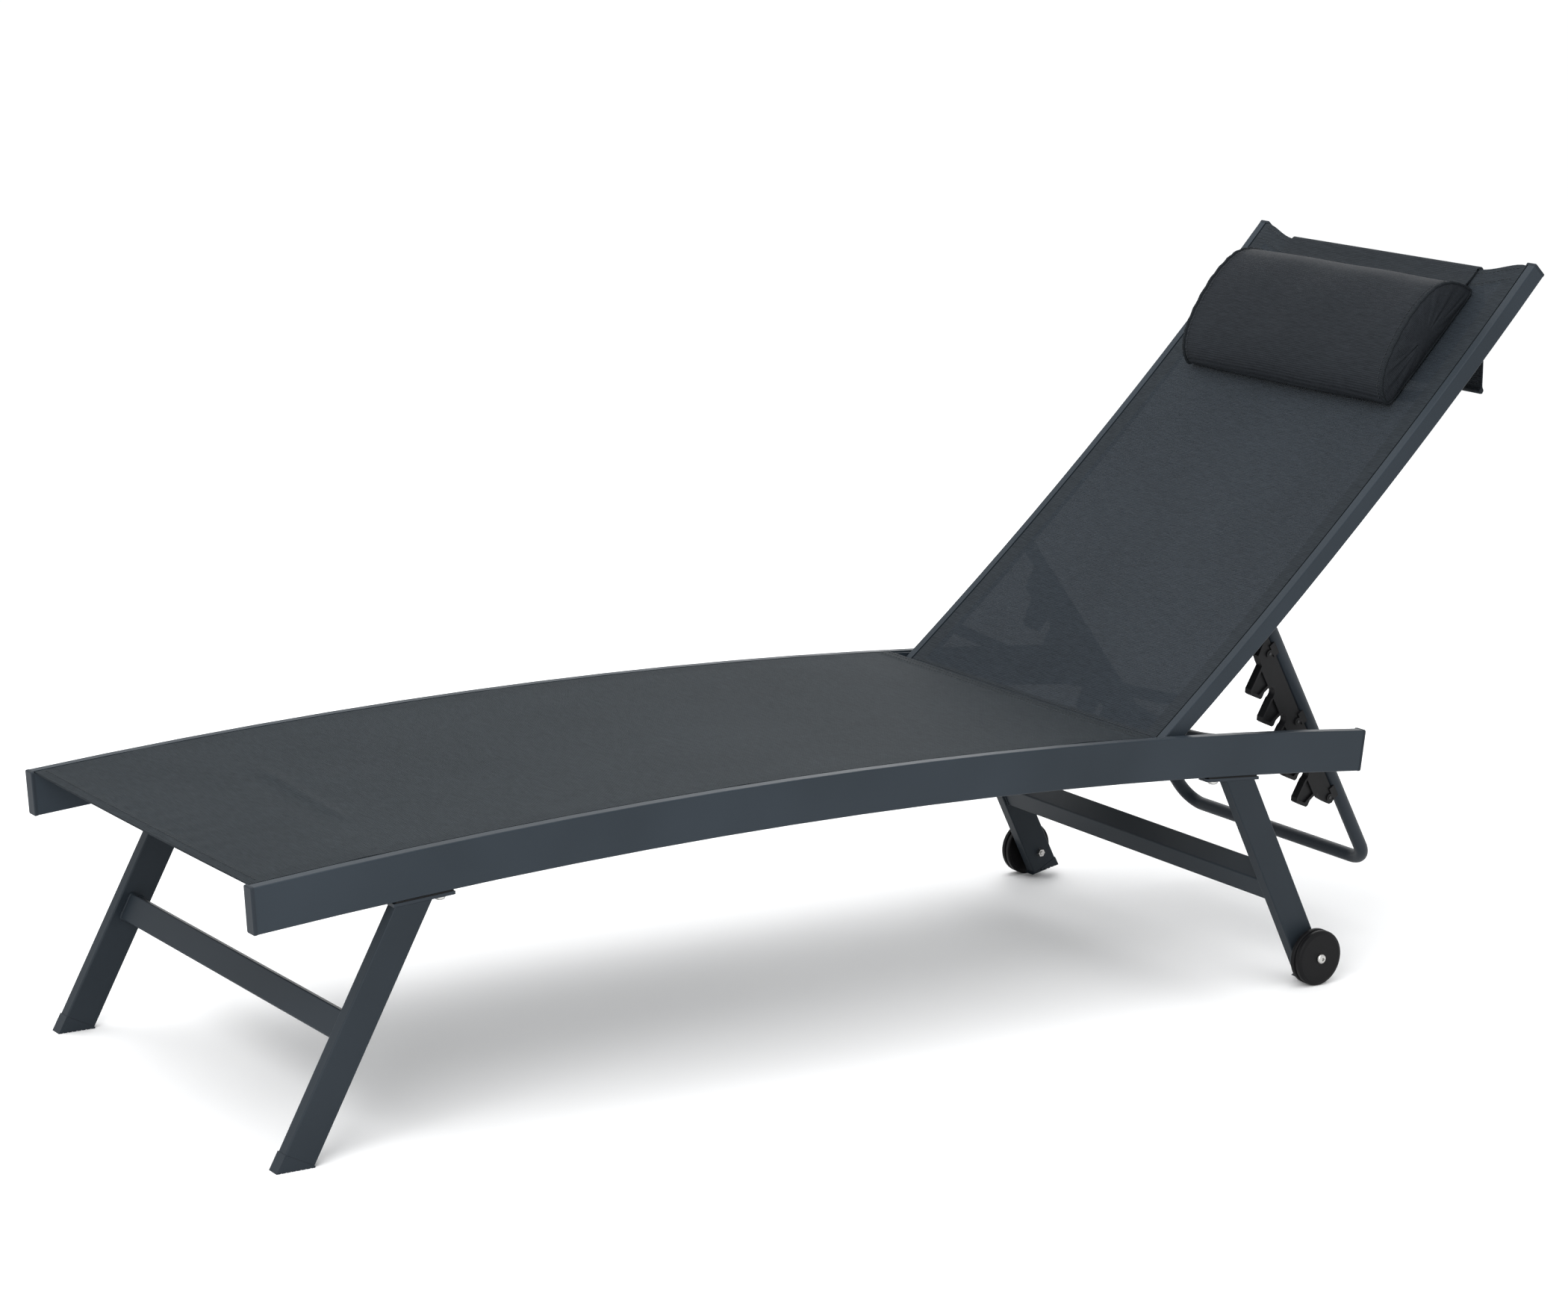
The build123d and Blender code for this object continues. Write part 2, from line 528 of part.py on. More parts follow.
with BuildPart() as wheel_axle_nuts:
    with BuildSketch(Plane.XZ.offset(276.4)):
        with Locations((WHEEL_STATION - ORG, WHEEL_R)):
            RegularPolygon(5.6, 6)
            Circle(3.02, mode=Mode.SUBTRACT)
    extrude(amount=5.3)
    mirror(about=Plane.XZ)

with BuildPart() as wheel_spacers:
    with BuildSketch(Plane.XZ.offset(HALF_W + 0.1)):
        with Locations((WHEEL_STATION - ORG, WHEEL_R)):
            Circle(9.0)
            Circle(AXLE_R + 0.03, mode=Mode.SUBTRACT)
    extrude(amount=WHEEL_IN - HALF_W - 0.5)
    mirror(about=Plane.XZ)

# ---------------------------------------------------------------- backrest
TAIL = 16.0                  # rail length below the hinge
with BuildPart() as backrest_rail_left:
    with BuildSketch(back_plane(-TAIL)):
        with Locations((-(BACK_OUT + BACK_IN) / 2, (BACK_R + BACK_H / 2))):
            RectangleRounded(BACK_W, BACK_H, 2.0)
        with Locations((-(BACK_OUT + BACK_IN) / 2, (BACK_R + BACK_H - WALL - 6.0))):
            Rectangle(BACK_W - 2 * WALL, 12.0, mode=Mode.SUBTRACT)
        with Locations((-(BACK_OUT - WALL - 3.2), (BACK_R + WALL + 3.2))):
            Rectangle(6.4, 6.4, mode=Mode.SUBTRACT)
        with Locations((-BACK_SLOT, (BACK_R + 5.1))):
            Rectangle(5.0, 5.0, mode=Mode.SUBTRACT)
        with Locations((-BACK_SLOT, (BACK_R + 1.0))):
            Rectangle(2.0, 4.0, mode=Mode.SUBTRACT)
        with Locations((-(BACK_IN + 1.0), BACK_R)):
            Rectangle(4.0, 4.0, mode=Mode.SUBTRACT)
    revolve(axis=BACK_AXIS, revolution_arc=back_turn(-TAIL, BACK_LEN))
    with BuildSketch(Plane.XZ.offset(BACK_IN - 2)):
        with Locations((hinge_x, hinge_z)):
            Circle(6.06)
    extrude(amount=BACK_W + 4, mode=Mode.SUBTRACT)
    with BuildSketch(Plane.XZ.offset(BACK_IN - 2)):
        with Locations((pivot_x, pivot_z)):
            Circle(4.0)
    extrude(amount=WALL + 3, mode=Mode.SUBTRACT)

with BuildPart() as backrest_rail_right:
    mirror(backrest_rail_left.part, about=Plane.XZ)

with BuildPart() as backrest_rail_caps:
    with BuildSketch(back_plane(BACK_LEN + 0.1)):
        with Locations((-(BACK_OUT + BACK_IN) / 2, (BACK_R + BACK_H / 2))):
            RectangleRounded(BACK_W + 0.5, BACK_H + 0.5, 2.2)
    revolve(axis=BACK_AXIS, revolution_arc=back_turn(BACK_LEN + 0.1, BACK_LEN + 4.0))
    fillet(backrest_rail_caps.edges().group_by(Axis.Z)[-1], 1.0)
    mirror(about=Plane.XZ)

with BuildPart() as backrest_keder_rods:
    with BuildSketch(back_plane(9.0)):
        with Locations((-BACK_SLOT, (BACK_R + 5.1)), (BACK_SLOT, (BACK_R + 5.1))):
            Circle(2.1)
    revolve(axis=BACK_AXIS, revolution_arc=back_turn(9.0, BACK_LEN - 4.0))

SLING_S0 = -5.0
SLING_S1 = 857.0
with BuildPart() as backrest_sling:
    with BuildSketch(back_plane(SLING_S0)):
        with Locations((0, (BACK_R + 1.0))):
            Rectangle(2 * 264.7, 1.6)
    revolve(axis=BACK_AXIS, revolution_arc=back_turn(SLING_S0, SLING_S1))


def back_bow(s, half, depth, bow):
    x0, z0 = back_pt(s, -depth)
    x1, z1 = back_pt(s, -depth - bow)
    return ThreePointArc((x0, -half, z0), (x1, 0, z1), (x0, half, z0))


with BuildPart() as backrest_spreader_lower:
    with BuildLine() as bl1:
        back_bow(96.0, BACK_IN, 13.0, 26.0)
    with BuildSketch(Plane(origin=bl1.line @ 0, z_dir=bl1.line % 0)):
        Circle(8.0)
        Circle(6.6, mode=Mode.SUBTRACT)
    sweep(path=bl1.line)
    split(bisect_by=Plane.XZ.offset(BACK_IN - 0.05), keep=Keep.BOTTOM)
    split(bisect_by=Plane.XZ.offset(-BACK_IN + 0.05), keep=Keep.TOP)

with BuildPart() as backrest_spreader_upper:
    with BuildLine() as bl2:
        back_bow(650.0, BACK_IN, 13.0, 26.0)
    with BuildSketch(Plane(origin=bl2.line @ 0, z_dir=bl2.line % 0)):
        Circle(8.0)
        Circle(6.6, mode=Mode.SUBTRACT)
    sweep(path=bl2.line)
    split(bisect_by=Plane.XZ.offset(BACK_IN - 0.05), keep=Keep.BOTTOM)
    split(bisect_by=Plane.XZ.offset(-BACK_IN + 0.05), keep=Keep.TOP)

# hinge: a bolt fixed in the side rail, a flanged bush turning on it
with BuildPart() as hinge_bolts:
    with BuildSketch(Plane(origin=(hinge_x, 0, hinge_z), x_dir=(1, 0, 0), z_dir=(0, 0, 1))):
        with BuildLine():
            Polyline((0, -284.5), (4.0, -284.5), (4.0, -260.6), (7.0, -260.6), (7.0, -259.6))
            ThreePointArc((7.0, -259.6), (6.0, -257.6), (3.6, -256.6))
            Polyline((3.6, -256.6), (0, -256.6), (0, -284.5))
        make_face()
    revolve(axis=Axis((hinge_x, 0, hinge_z), (0, 1, 0)), revolution_arc=360)
    mirror(about=Plane.XZ)

with BuildPart() as hinge_bushes:
    with BuildSketch(Plane(origin=(hinge_x, 0, hinge_z), x_dir=(1, 0, 0), z_dir=(0, 0, 1))):
        with BuildLine():
            Polyline((4.06, -281.7), (9.5, -281.7), (9.5, -279.8), (6.0, -279.8), (6.0, -260.9), (4.06, -260.9), close=True)
        make_face()
    revolve(axis=Axis((hinge_x, 0, hinge_z), (0, 1, 0)), revolution_arc=360)
    mirror(about=Plane.XZ)

# ---------------------------------------------------------------- support frame
TOP_EXT = 9.5                # tube above the pivot


def u_pt(t, y_side):
    """Point on the support leg's axis, t down from the pivot."""
    y = U_TOP_Y - (U_TOP_Y - U_LOW_Y) * t / U_LEN
    return (pivot_x + dv[0] * t, y_side * y, pivot_z + dv[1] * t)


with BuildPart() as support_tube:
    with BuildLine() as ul:
        FilletPolyline(u_pt(-TOP_EXT, -1), u_pt(U_LEN, -1), u_pt(U_LEN, 1), u_pt(-TOP_EXT, 1), radius=U_BEND)
    with BuildSketch(Plane(origin=ul.line @ 0, z_dir=ul.line % 0)):
        Circle(TUBE_R)
        Circle(TUBE_R - 1.5, mode=Mode.SUBTRACT)
    sweep(path=ul.line)
    # ends rounded about the pivot, and holes for the bushes
    with BuildSketch(Plane.XZ.offset(275)):
        with Locations(Location((pivot_x - dv[0] * 20, pivot_z - dv[1] * 20, 0), (0, 0, U_ANGLE))):
            Rectangle(40, 40)
        with Locations((pivot_x, pivot_z)):
            Circle(9.3, mode=Mode.SUBTRACT)
            Circle(6.06)
    extrude(amount=-550, mode=Mode.SUBTRACT)

leg_dir = Vector(dv[0] * cos(beta), sin(beta), dv[1] * cos(beta))
fwd = Vector(nv[0], 0, nv[1])
hook_normal = leg_dir.cross(fwd)
leg_top = Vector(*u_pt(0, -1))
hook_plane = Plane(origin=leg_top, x_dir=leg_dir, z_dir=hook_normal)
cb = 1 / cos(beta)


def finger(k):
    d = NOTCH_STEP * k
    c = NOTCH_T - NOTCH_R
    return [(61.2 + d, 30), (66.2 + d, 38), (83.0 + d, 68), (88.5 + d, 71.5), (92.5 + d, 70), (107.2 + d, 60.5),
            (c + 4.4 + d, 57.0), (c + 0.4 + d, 50.5), (c + d, NOTCH_O), (c + d, 30)]


with BuildPart() as hook_plate_left:
    # comb
    with BuildSketch(hook_plane.offset(-HOOK_T / 2)):
        with BuildLine():
            Polyline((34, 11), (338, 11), (344, 14), (346, 19), (344, 24), (338, 28), (326, 34), (60, 38),
                     (48, 37), (40, 26), close=True)
        make_face()
        for k in range(5):
            with BuildLine():
                Polyline(*finger(k), close=True)
            make_face()
        with Locations(*[(NOTCH_T + NOTCH_STEP * k, NOTCH_O) for k in range(5)]):
            Circle(NOTCH_R, mode=Mode.SUBTRACT)
    extrude(amount=HOOK_T)
    # shallow pockets that leave ribs round each finger
    for side in (-1, 1):
        with BuildSketch(hook_plane.offset(side * HOOK_T / 2)):
            for k in range(5):
                d = NOTCH_STEP * k
                with BuildLine():
                    Polyline((72 + d, 41), (85 + d, 64), (89 + d, 66.5), (100 + d, 59.5), (99 + d, 41), close=True)
                make_face()
        extrude(amount=-side * 3.0, mode=Mode.SUBTRACT)
    # saddle round the tube
    with BuildSketch(hook_plane.offset(-7.5)):
        with Locations((58, 9.0), (186, 9.0), (332, 9.0)):
            Rectangle(20, 13.0)
    extrude(amount=15.0)
    with BuildSketch(Plane(origin=leg_top, z_dir=leg_dir)):
        Circle(TUBE_R + 0.05)
    extrude(amount=400, mode=Mode.SUBTRACT)
    # screw bosses
    with BuildSketch(hook_plane.offset(-7.5)):
        with Locations((58, 20), (186, 20), (334, 20)):
            Circle(5.4)
    extrude(amount=15.0)
    with BuildSketch(hook_plane.offset(-8)):
        with Locations((58, 20), (186, 20), (334, 20)):
            Circle(2.0)
    extrude(amount=16.0, mode=Mode.SUBTRACT)

with BuildPart() as hook_plate_right:
    mirror(hook_plate_left.part, about=Plane.XZ)

with BuildPart() as hook_plate_screws:
    with BuildSketch(hook_plane.offset(-8.2)):
        with Locations((58, 20), (186, 20), (334, 20)):
            Circle(1.98)
    extrude(amount=16.2)
    with BuildSketch(hook_plane.offset(7.6)):
        with Locations((58, 20), (186, 20), (334, 20)):
            Circle(3.6)
    extrude(amount=2.0)
    mirror(about=Plane.XZ)

with BuildPart() as support_end_plugs:
    with BuildSketch(Plane(origin=u_pt(-TOP_EXT, -1), z_dir=leg_dir)):
        Circle(TUBE_R - 1.55)
    extrude(amount=24.0)
    with BuildSketch(Plane.XZ.offset(275)):
        with Locations(Location((pivot_x - dv[0] * 20, pivot_z - dv[1] * 20, 0), (0, 0, U_ANGLE))):
            Rectangle(40, 40)
        with Locations((pivot_x, pivot_z)):
            Circle(9.0, mode=Mode.SUBTRACT)
            Circle(6.06)
    extrude(amount=-60, mode=Mode.SUBTRACT)
    mirror(about=Plane.XZ)

with BuildPart() as support_pivot_bolts:
    with BuildSketch(Plane(origin=(pivot_x, 0, pivot_z), x_dir=(1, 0, 0), z_dir=(0, 0, 1))):
        with BuildLine():
            Polyline((0, -264.6), (4.0, -264.6), (4.0, -238.6), (7.0, -238.6), (7.0, -237.6))
            ThreePointArc((7.0, -237.6), (6.0, -235.6), (3.6, -234.8))
            Polyline((3.6, -234.8), (0, -234.8), (0, -264.6))
        make_face()
    revolve(axis=Axis((pivot_x, 0, pivot_z), (0, 1, 0)), revolution_arc=360)
    mirror(about=Plane.XZ)

with BuildPart() as support_pivot_bushes:
    with BuildSketch(Plane(origin=(pivot_x, 0, pivot_z), x_dir=(1, 0, 0), z_dir=(0, 0, 1))):
        with BuildLine():
            Polyline((4.06, -261.7), (8.5, -261.7), (8.5, -260.7), (6.0, -260.7), (6.0, -238.9), (4.06, -238.9), close=True)
        make_face()
    revolve(axis=Axis((pivot_x, 0, pivot_z), (0, 1, 0)), revolution_arc=360)
    mirror(about=Plane.XZ)

# ---------------------------------------------------------------- head pillow
PILLOW_S = 714.0
PILLOW_L = 101.0             # half height along the backrest
PILLOW_D = 62.0              # depth
PILLOW_W = 203.0             # half width
pc_ = back_pt(PILLOW_S, 3.6)
pa_ = radians(BACK_A0) + PILLOW_S / (BACK_R + BACK_H / 2)
with BuildPart() as head_pillow:
    with BuildSketch(Plane(origin=(pc_[0], -PILLOW_W, pc_[1]), x_dir=(cos(pa_), 0, sin(pa_)), z_dir=(0, -1, 0))):
        with BuildLine():
            EllipticalCenterArc((0, 0), PILLOW_L, PILLOW_D, start_angle=0, arc_size=180)
            Line((-PILLOW_L, 0), (PILLOW_L, 0))
        make_face()
    extrude(amount=-2 * PILLOW_W)

STRAP_W = 189.0
STRAP_T = 2.2
with BuildPart() as pillow_strap:
    with BuildSketch(Plane(origin=(0, -STRAP_W, 0), x_dir=(1, 0, 0), z_dir=(0, -1, 0))):
        with BuildLine():
            Polyline(back_pt(818.5, 1.6), back_pt(854.5, 1.1), back_pt(854.5, 3.3), back_pt(818.5, 6.0), close=True)
        make_face()
    extrude(amount=-2 * STRAP_W)

# the strap turns over the sling's top edge about this axis
TURN_S = 855.0
TURN_R = 4.3
turn_x, turn_z = back_pt(TURN_S, -3.2)
turn_a = radians(BACK_A0) + TURN_S / (BACK_R + BACK_H / 2)
back_up = degrees(atan2(cos(turn_a), -sin(turn_a)))
with BuildPart() as strap_turn:
    with BuildSketch(Plane(origin=(turn_x, -STRAP_W, turn_z), x_dir=(1, 0, 0), z_dir=(0, -1, 0))):
        with BuildLine():
            CenterArc((0, 0), TURN_R, 0, back_up)
            CenterArc((0, 0), TURN_R + STRAP_T, 0, back_up)
            Line((TURN_R, 0), (TURN_R + STRAP_T, 0))
            Line((TURN_R * cos(radians(back_up)), TURN_R * sin(radians(back_up))),
                 ((TURN_R + STRAP_T) * cos(radians(back_up)), (TURN_R + STRAP_T) * sin(radians(back_up))))
        make_face()
    extrude(amount=-2 * STRAP_W)

FLAP_X = turn_x + TURN_R + STRAP_T + 0.35
FLAP_TOP = turn_z
FLAP_LOW = 772.0
FLAP_LEAN = 11.0             # the hem hangs this far behind the top edge
with BuildPart() as strap_flap:
    with BuildSketch(Plane(origin=(0, -STRAP_W, 0), x_dir=(1, 0, 0), z_dir=(0, -1, 0))):
        with BuildLine():
            Polyline((FLAP_X, FLAP_TOP), (FLAP_X + STRAP_T, FLAP_TOP), (FLAP_X + FLAP_LEAN + STRAP_T, FLAP_LOW),
                     (FLAP_X + FLAP_LEAN, FLAP_LOW), close=True)
        make_face()
    extrude(amount=-2 * STRAP_W)

with BuildPart() as flap_weight_bar:
    with BuildSketch(Plane.XZ.offset(-STRAP_W + 4)):
        with Locations((FLAP_X + FLAP_LEAN + STRAP_T / 2, FLAP_LOW - 4.2)):
            Circle(4.0)
    extrude(amount=2 * (STRAP_W - 4))

# ---------------------------------------------------------------- labels, files
NODES = {
    "side_rail_left": side_rail_left, "side_rail_right": side_rail_right,
    "seat_keder_rods": seat_keder_rods, "seat_sling": seat_sling,
    "rail_foot_caps": rail_foot_caps, "rail_head_caps": rail_head_caps,
    "seat_spreader_front": seat_spreader_front, "seat_spreader_middle": seat_spreader_middle,
    "seat_spreader_rear": seat_spreader_rear, "hook_bar": hook_bar,
    "front_leg_left": front_leg_left, "front_leg_right": front_leg_right,
    "front_cross_bar": front_cross_bar, "front_mount_plates": front_mount_plates,
    "front_mount_pads": front_mount_pads, "front_foot_caps": front_foot_caps,
    "rear_leg_left": rear_leg_left, "rear_leg_right": rear_leg_right,
    "rear_cross_bar": rear_cross_bar, "rear_mount_plates": rear_mount_plates,
    "rear_mount_pads": rear_mount_pads, "rear_foot_caps": rear_foot_caps,
    "leg_bolts": leg_bolts, "wheel_left": wheel_left, "wheel_right": wheel_right,
    "wheel_axle_bolts": wheel_axle_bolts, "wheel_axle_nuts": wheel_axle_nuts,
    "wheel_spacers": wheel_spacers,
    "backrest_rail_left": backrest_rail_left, "backrest_rail_right": backrest_rail_right,
    "backrest_rail_caps": backrest_rail_caps, "backrest_keder_rods": backrest_keder_rods,
    "backrest_sling": backrest_sling, "backrest_spreader_lower": backrest_spreader_lower,
    "backrest_spreader_upper": backrest_spreader_upper,
    "hinge_bolts": hinge_bolts, "hinge_bushes": hinge_bushes,
    "support_tube": support_tube, "hook_plate_left": hook_plate_left,
    "hook_plate_right": hook_plate_right, "hook_plate_screws": hook_plate_screws,
    "support_end_plugs": support_end_plugs, "support_pivot_bolts": support_pivot_bolts,
    "support_pivot_bushes": support_pivot_bushes,
    "head_pillow": head_pillow, "pillow_strap": pillow_strap,
    "strap_turn": strap_turn, "strap_flap": strap_flap, "flap_weight_bar": flap_weight_bar,
}

lo = [1e9] * 3
hi = [-1e9] * 3
for name, node in NODES.items():
    node.part.label = name
    export_step(node.part, "parts/%s.step" % name)
    bb = node.part.bounding_box()
    lo = [min(lo[0], bb.min.X), min(lo[1], bb.min.Y), min(lo[2], bb.min.Z)]
    hi = [max(hi[0], bb.max.X), max(hi[1], bb.max.Y), max(hi[2], bb.max.Z)]
print("overall box", [round(v, 2) for v in lo], [round(v, 2) for v in hi])
print("hinge", round(hinge_x, 3), round(hinge_z, 3), "pivot", round(pivot_x, 3), round(pivot_z, 3))
print("bar", round(BAR_X, 3), round(BAR_Z, 3), "turn", round(turn_x, 3), round(turn_z, 3))
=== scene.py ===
import json
import math
import random
from math import sin, cos, asin, atan2, sqrt, radians, pi

import bpy
import bmesh
from mathutils import Vector, Matrix


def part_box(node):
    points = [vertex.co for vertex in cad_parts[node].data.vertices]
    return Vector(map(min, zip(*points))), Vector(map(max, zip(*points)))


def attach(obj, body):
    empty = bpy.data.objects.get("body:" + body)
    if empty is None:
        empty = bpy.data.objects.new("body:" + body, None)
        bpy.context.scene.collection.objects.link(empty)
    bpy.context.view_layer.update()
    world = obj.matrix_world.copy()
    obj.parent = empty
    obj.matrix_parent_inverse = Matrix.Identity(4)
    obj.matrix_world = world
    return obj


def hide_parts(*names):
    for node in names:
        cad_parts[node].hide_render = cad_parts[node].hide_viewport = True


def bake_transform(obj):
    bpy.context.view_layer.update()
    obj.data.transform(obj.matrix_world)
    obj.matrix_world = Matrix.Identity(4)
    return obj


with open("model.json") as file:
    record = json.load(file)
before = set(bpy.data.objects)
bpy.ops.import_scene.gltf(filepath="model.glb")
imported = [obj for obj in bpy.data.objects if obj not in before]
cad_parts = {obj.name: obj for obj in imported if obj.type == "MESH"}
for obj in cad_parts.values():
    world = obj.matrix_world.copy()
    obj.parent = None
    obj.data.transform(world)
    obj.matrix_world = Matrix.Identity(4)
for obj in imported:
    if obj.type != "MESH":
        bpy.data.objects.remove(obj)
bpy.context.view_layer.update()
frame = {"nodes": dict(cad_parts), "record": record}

random.seed(7)

# ---------------------------------------------------------------- dimensions, metres
ORG = 0.97362
SEAT_R, SEAT_MID, SEAT_TOP, RAIL_H = 8.830, 0.827, 0.3227, 0.056
SEAT_RT = SEAT_R + RAIL_H
SEAT_C = (SEAT_MID - ORG, SEAT_TOP - SEAT_R)
SLING_END = 1.292
BACK_R, BACK_H = 6.2515, 0.024
BACK_C = (-2.7048 - ORG, 5.1419)
BACK_A0 = radians(39.90)
STRAP_W = 0.189
TURN_S, TURN_OFF, TURN_R, STRAP_T = 0.855, -0.0032, 0.0043, 0.0022
FLAP_LEAN, FLAP_GAP = 0.011, 0.00035


def seat_frame_at(st, lift=0.0):
    """Point above a station on the sling's middle surface, and its normal."""
    a = asin((st - SEAT_MID) / SEAT_R)
    r = SEAT_RT - 0.001 + lift
    return (SEAT_C[0] + r * sin(a), SEAT_C[1] + r * cos(a)), (sin(a), cos(a))


def back_at(s, off=0.0):
    """Point at arc length s from the hinge, off in front of the upper face, and the normal there."""
    a = BACK_A0 + s / (BACK_R + BACK_H / 2)
    r = BACK_R - off
    return (BACK_C[0] + r * sin(a), BACK_C[1] - r * cos(a)), (-sin(a), cos(a))


# ---------------------------------------------------------------- materials
def new_mat(name):
    m = bpy.data.materials.new(name)
    m.use_nodes = True
    nt = m.node_tree
    nt.nodes.clear()
    out = nt.nodes.new("ShaderNodeOutputMaterial")
    bs = nt.nodes.new("ShaderNodeBsdfPrincipled")
    nt.links.new(bs.outputs["BSDF"], out.inputs["Surface"])
    return m, nt, bs


def node(nt, kind, **kw):
    n = nt.nodes.new(kind)
    for k, v in kw.items():
        if k.startswith("in_"):
            n.inputs[k[3:].replace("_", " ")].default_value = v
        else:
            setattr(n, k, v)
    return n


def ramp(nt, fac, c0, c1, p0=0.0, p1=1.0):
    r = nt.nodes.new("ShaderNodeValToRGB")
    r.color_ramp.elements[0].position, r.color_ramp.elements[0].color = p0, (*c0, 1)
    r.color_ramp.elements[1].position, r.color_ramp.elements[1].color = p1, (*c1, 1)
    nt.links.new(fac, r.inputs["Fac"])
    return r.outputs["Color"]


def math_node(nt, op, a, b=None):
    n = nt.nodes.new("ShaderNodeMath")
    n.operation = op
    for i, v in enumerate((a, b)):
        if v is None:
            continue
        if isinstance(v, (int, float)):
            n.inputs[i].default_value = v
        else:
            nt.links.new(v, n.inputs[i])
    return n.outputs[0]


def grain(name, c0, c1, rough0, rough1, scale, bump, dist, spec=0.5, metallic=0.0, coat=0.0):
    """Moulded or painted surface: fine bump, uneven gloss, slight tone change, and a painted highlight that lightens
    sharp edges.
    """
    m, nt, bs = new_mat(name)
    tc = node(nt, "ShaderNodeTexCoord")
    fine = node(nt, "ShaderNodeTexNoise", in_Scale=scale, in_Detail=3.0, in_Roughness=0.55)
    broad = node(nt, "ShaderNodeTexNoise", in_Scale=5.0, in_Detail=2.0, in_Roughness=0.5)
    for n in (fine, broad):
        nt.links.new(tc.outputs["Object"], n.inputs["Vector"])
    mix = math_node(nt, "ADD", math_node(nt, "MULTIPLY", broad.outputs[0], 0.7), math_node(nt, "MULTIPLY", fine.outputs[0], 0.3))
    # painted highlight: the base colour is lightened where Pointiness marks sharp convex edges
    geo = node(nt, "ShaderNodeNewGeometry")
    edge = nt.nodes.new("ShaderNodeMapRange")
    edge.inputs["From Min"].default_value, edge.inputs["From Max"].default_value = 0.53, 0.62
    edge.inputs["To Min"].default_value, edge.inputs["To Max"].default_value = 0.0, 0.12
    nt.links.new(geo.outputs["Pointiness"], edge.inputs["Value"])
    tone = math_node(nt, "ADD", mix, edge.outputs[0])
    nt.links.new(ramp(nt, tone, c0, c1, 0.3, 0.9), bs.inputs["Base Color"])
    rr = nt.nodes.new("ShaderNodeMapRange")
    rr.inputs["To Min"].default_value, rr.inputs["To Max"].default_value = rough0, rough1
    nt.links.new(mix, rr.inputs["Value"])
    nt.links.new(rr.outputs[0], bs.inputs["Roughness"])
    b = node(nt, "ShaderNodeBump", in_Strength=bump, in_Distance=dist)
    nt.links.new(fine.outputs[0], b.inputs["Height"])
    nt.links.new(b.outputs["Normal"], bs.inputs["Normal"])
    bs.inputs["Metallic"].default_value = metallic
    bs.inputs["Specular IOR Level"].default_value = spec
    bs.inputs["Coat Weight"].default_value = coat
    bs.inputs["Coat Roughness"].default_value = 0.35
    return m


def weave(name, c_dark, c_light, along, rib, pick, alpha=1.0, strength=0.55, sheen=0.25, broad_amt=0.25):
    """Woven mesh: ribs across the width, finer picks along it. along = direction of the warp in X and Z."""
    m, nt, bs = new_mat(name)
    tc = node(nt, "ShaderNodeTexCoord")
    dot = node(nt, "ShaderNodeVectorMath", operation="DOT_PRODUCT")
    dot.inputs[1].default_value = (along[0], 0.0, along[1])
    nt.links.new(tc.outputs["Object"], dot.inputs[0])
    sep = node(nt, "ShaderNodeSeparateXYZ")
    nt.links.new(tc.outputs["Object"], sep.inputs[0])
    s_along = dot.outputs["Value"]
    s_across = sep.outputs["Y"]
    w1 = math_node(nt, "SINE", math_node(nt, "MULTIPLY", s_along, 2 * pi / rib))
    w2 = math_node(nt, "SINE", math_node(nt, "MULTIPLY", s_across, 2 * pi / pick))
    prod = math_node(nt, "MULTIPLY", w1, w2)
    h = math_node(nt, "ADD", math_node(nt, "MULTIPLY", w1, 0.5), math_node(nt, "MULTIPLY", prod, 0.35))
    h01 = math_node(nt, "ADD", math_node(nt, "MULTIPLY", h, 0.5), 0.5)
    slub = node(nt, "ShaderNodeTexNoise", in_Scale=60.0, in_Detail=2.0)
    mp = node(nt, "ShaderNodeMapping")
    mp.inputs["Scale"].default_value = (9.0, 1.0, 9.0)
    nt.links.new(tc.outputs["Object"], mp.inputs["Vector"])
    nt.links.new(mp.outputs[0], slub.inputs["Vector"])
    broad = node(nt, "ShaderNodeTexNoise", in_Scale=4.0, in_Detail=3.0)
    nt.links.new(tc.outputs["Object"], broad.inputs["Vector"])
    tone = math_node(nt, "ADD", math_node(nt, "MULTIPLY", h01, 0.5),
                     math_node(nt, "ADD", math_node(nt, "MULTIPLY", math_node(nt, "SUBTRACT", slub.outputs[0], 0.25), 0.62),
                               math_node(nt, "MULTIPLY", broad.outputs[0], broad_amt)))
    nt.links.new(ramp(nt, tone, c_dark, c_light, 0.15, 0.95), bs.inputs["Base Color"])
    b = node(nt, "ShaderNodeBump", in_Strength=strength, in_Distance=0.0006)
    nt.links.new(h01, b.inputs["Height"])
    nt.links.new(b.outputs["Normal"], bs.inputs["Normal"])
    bs.inputs["Roughness"].default_value = 0.66
    bs.inputs["Specular IOR Level"].default_value = 0.04
    bs.inputs["Sheen Weight"].default_value = sheen
    bs.inputs["Sheen Roughness"].default_value = 0.45
    bs.inputs["Alpha"].default_value = alpha
    return m


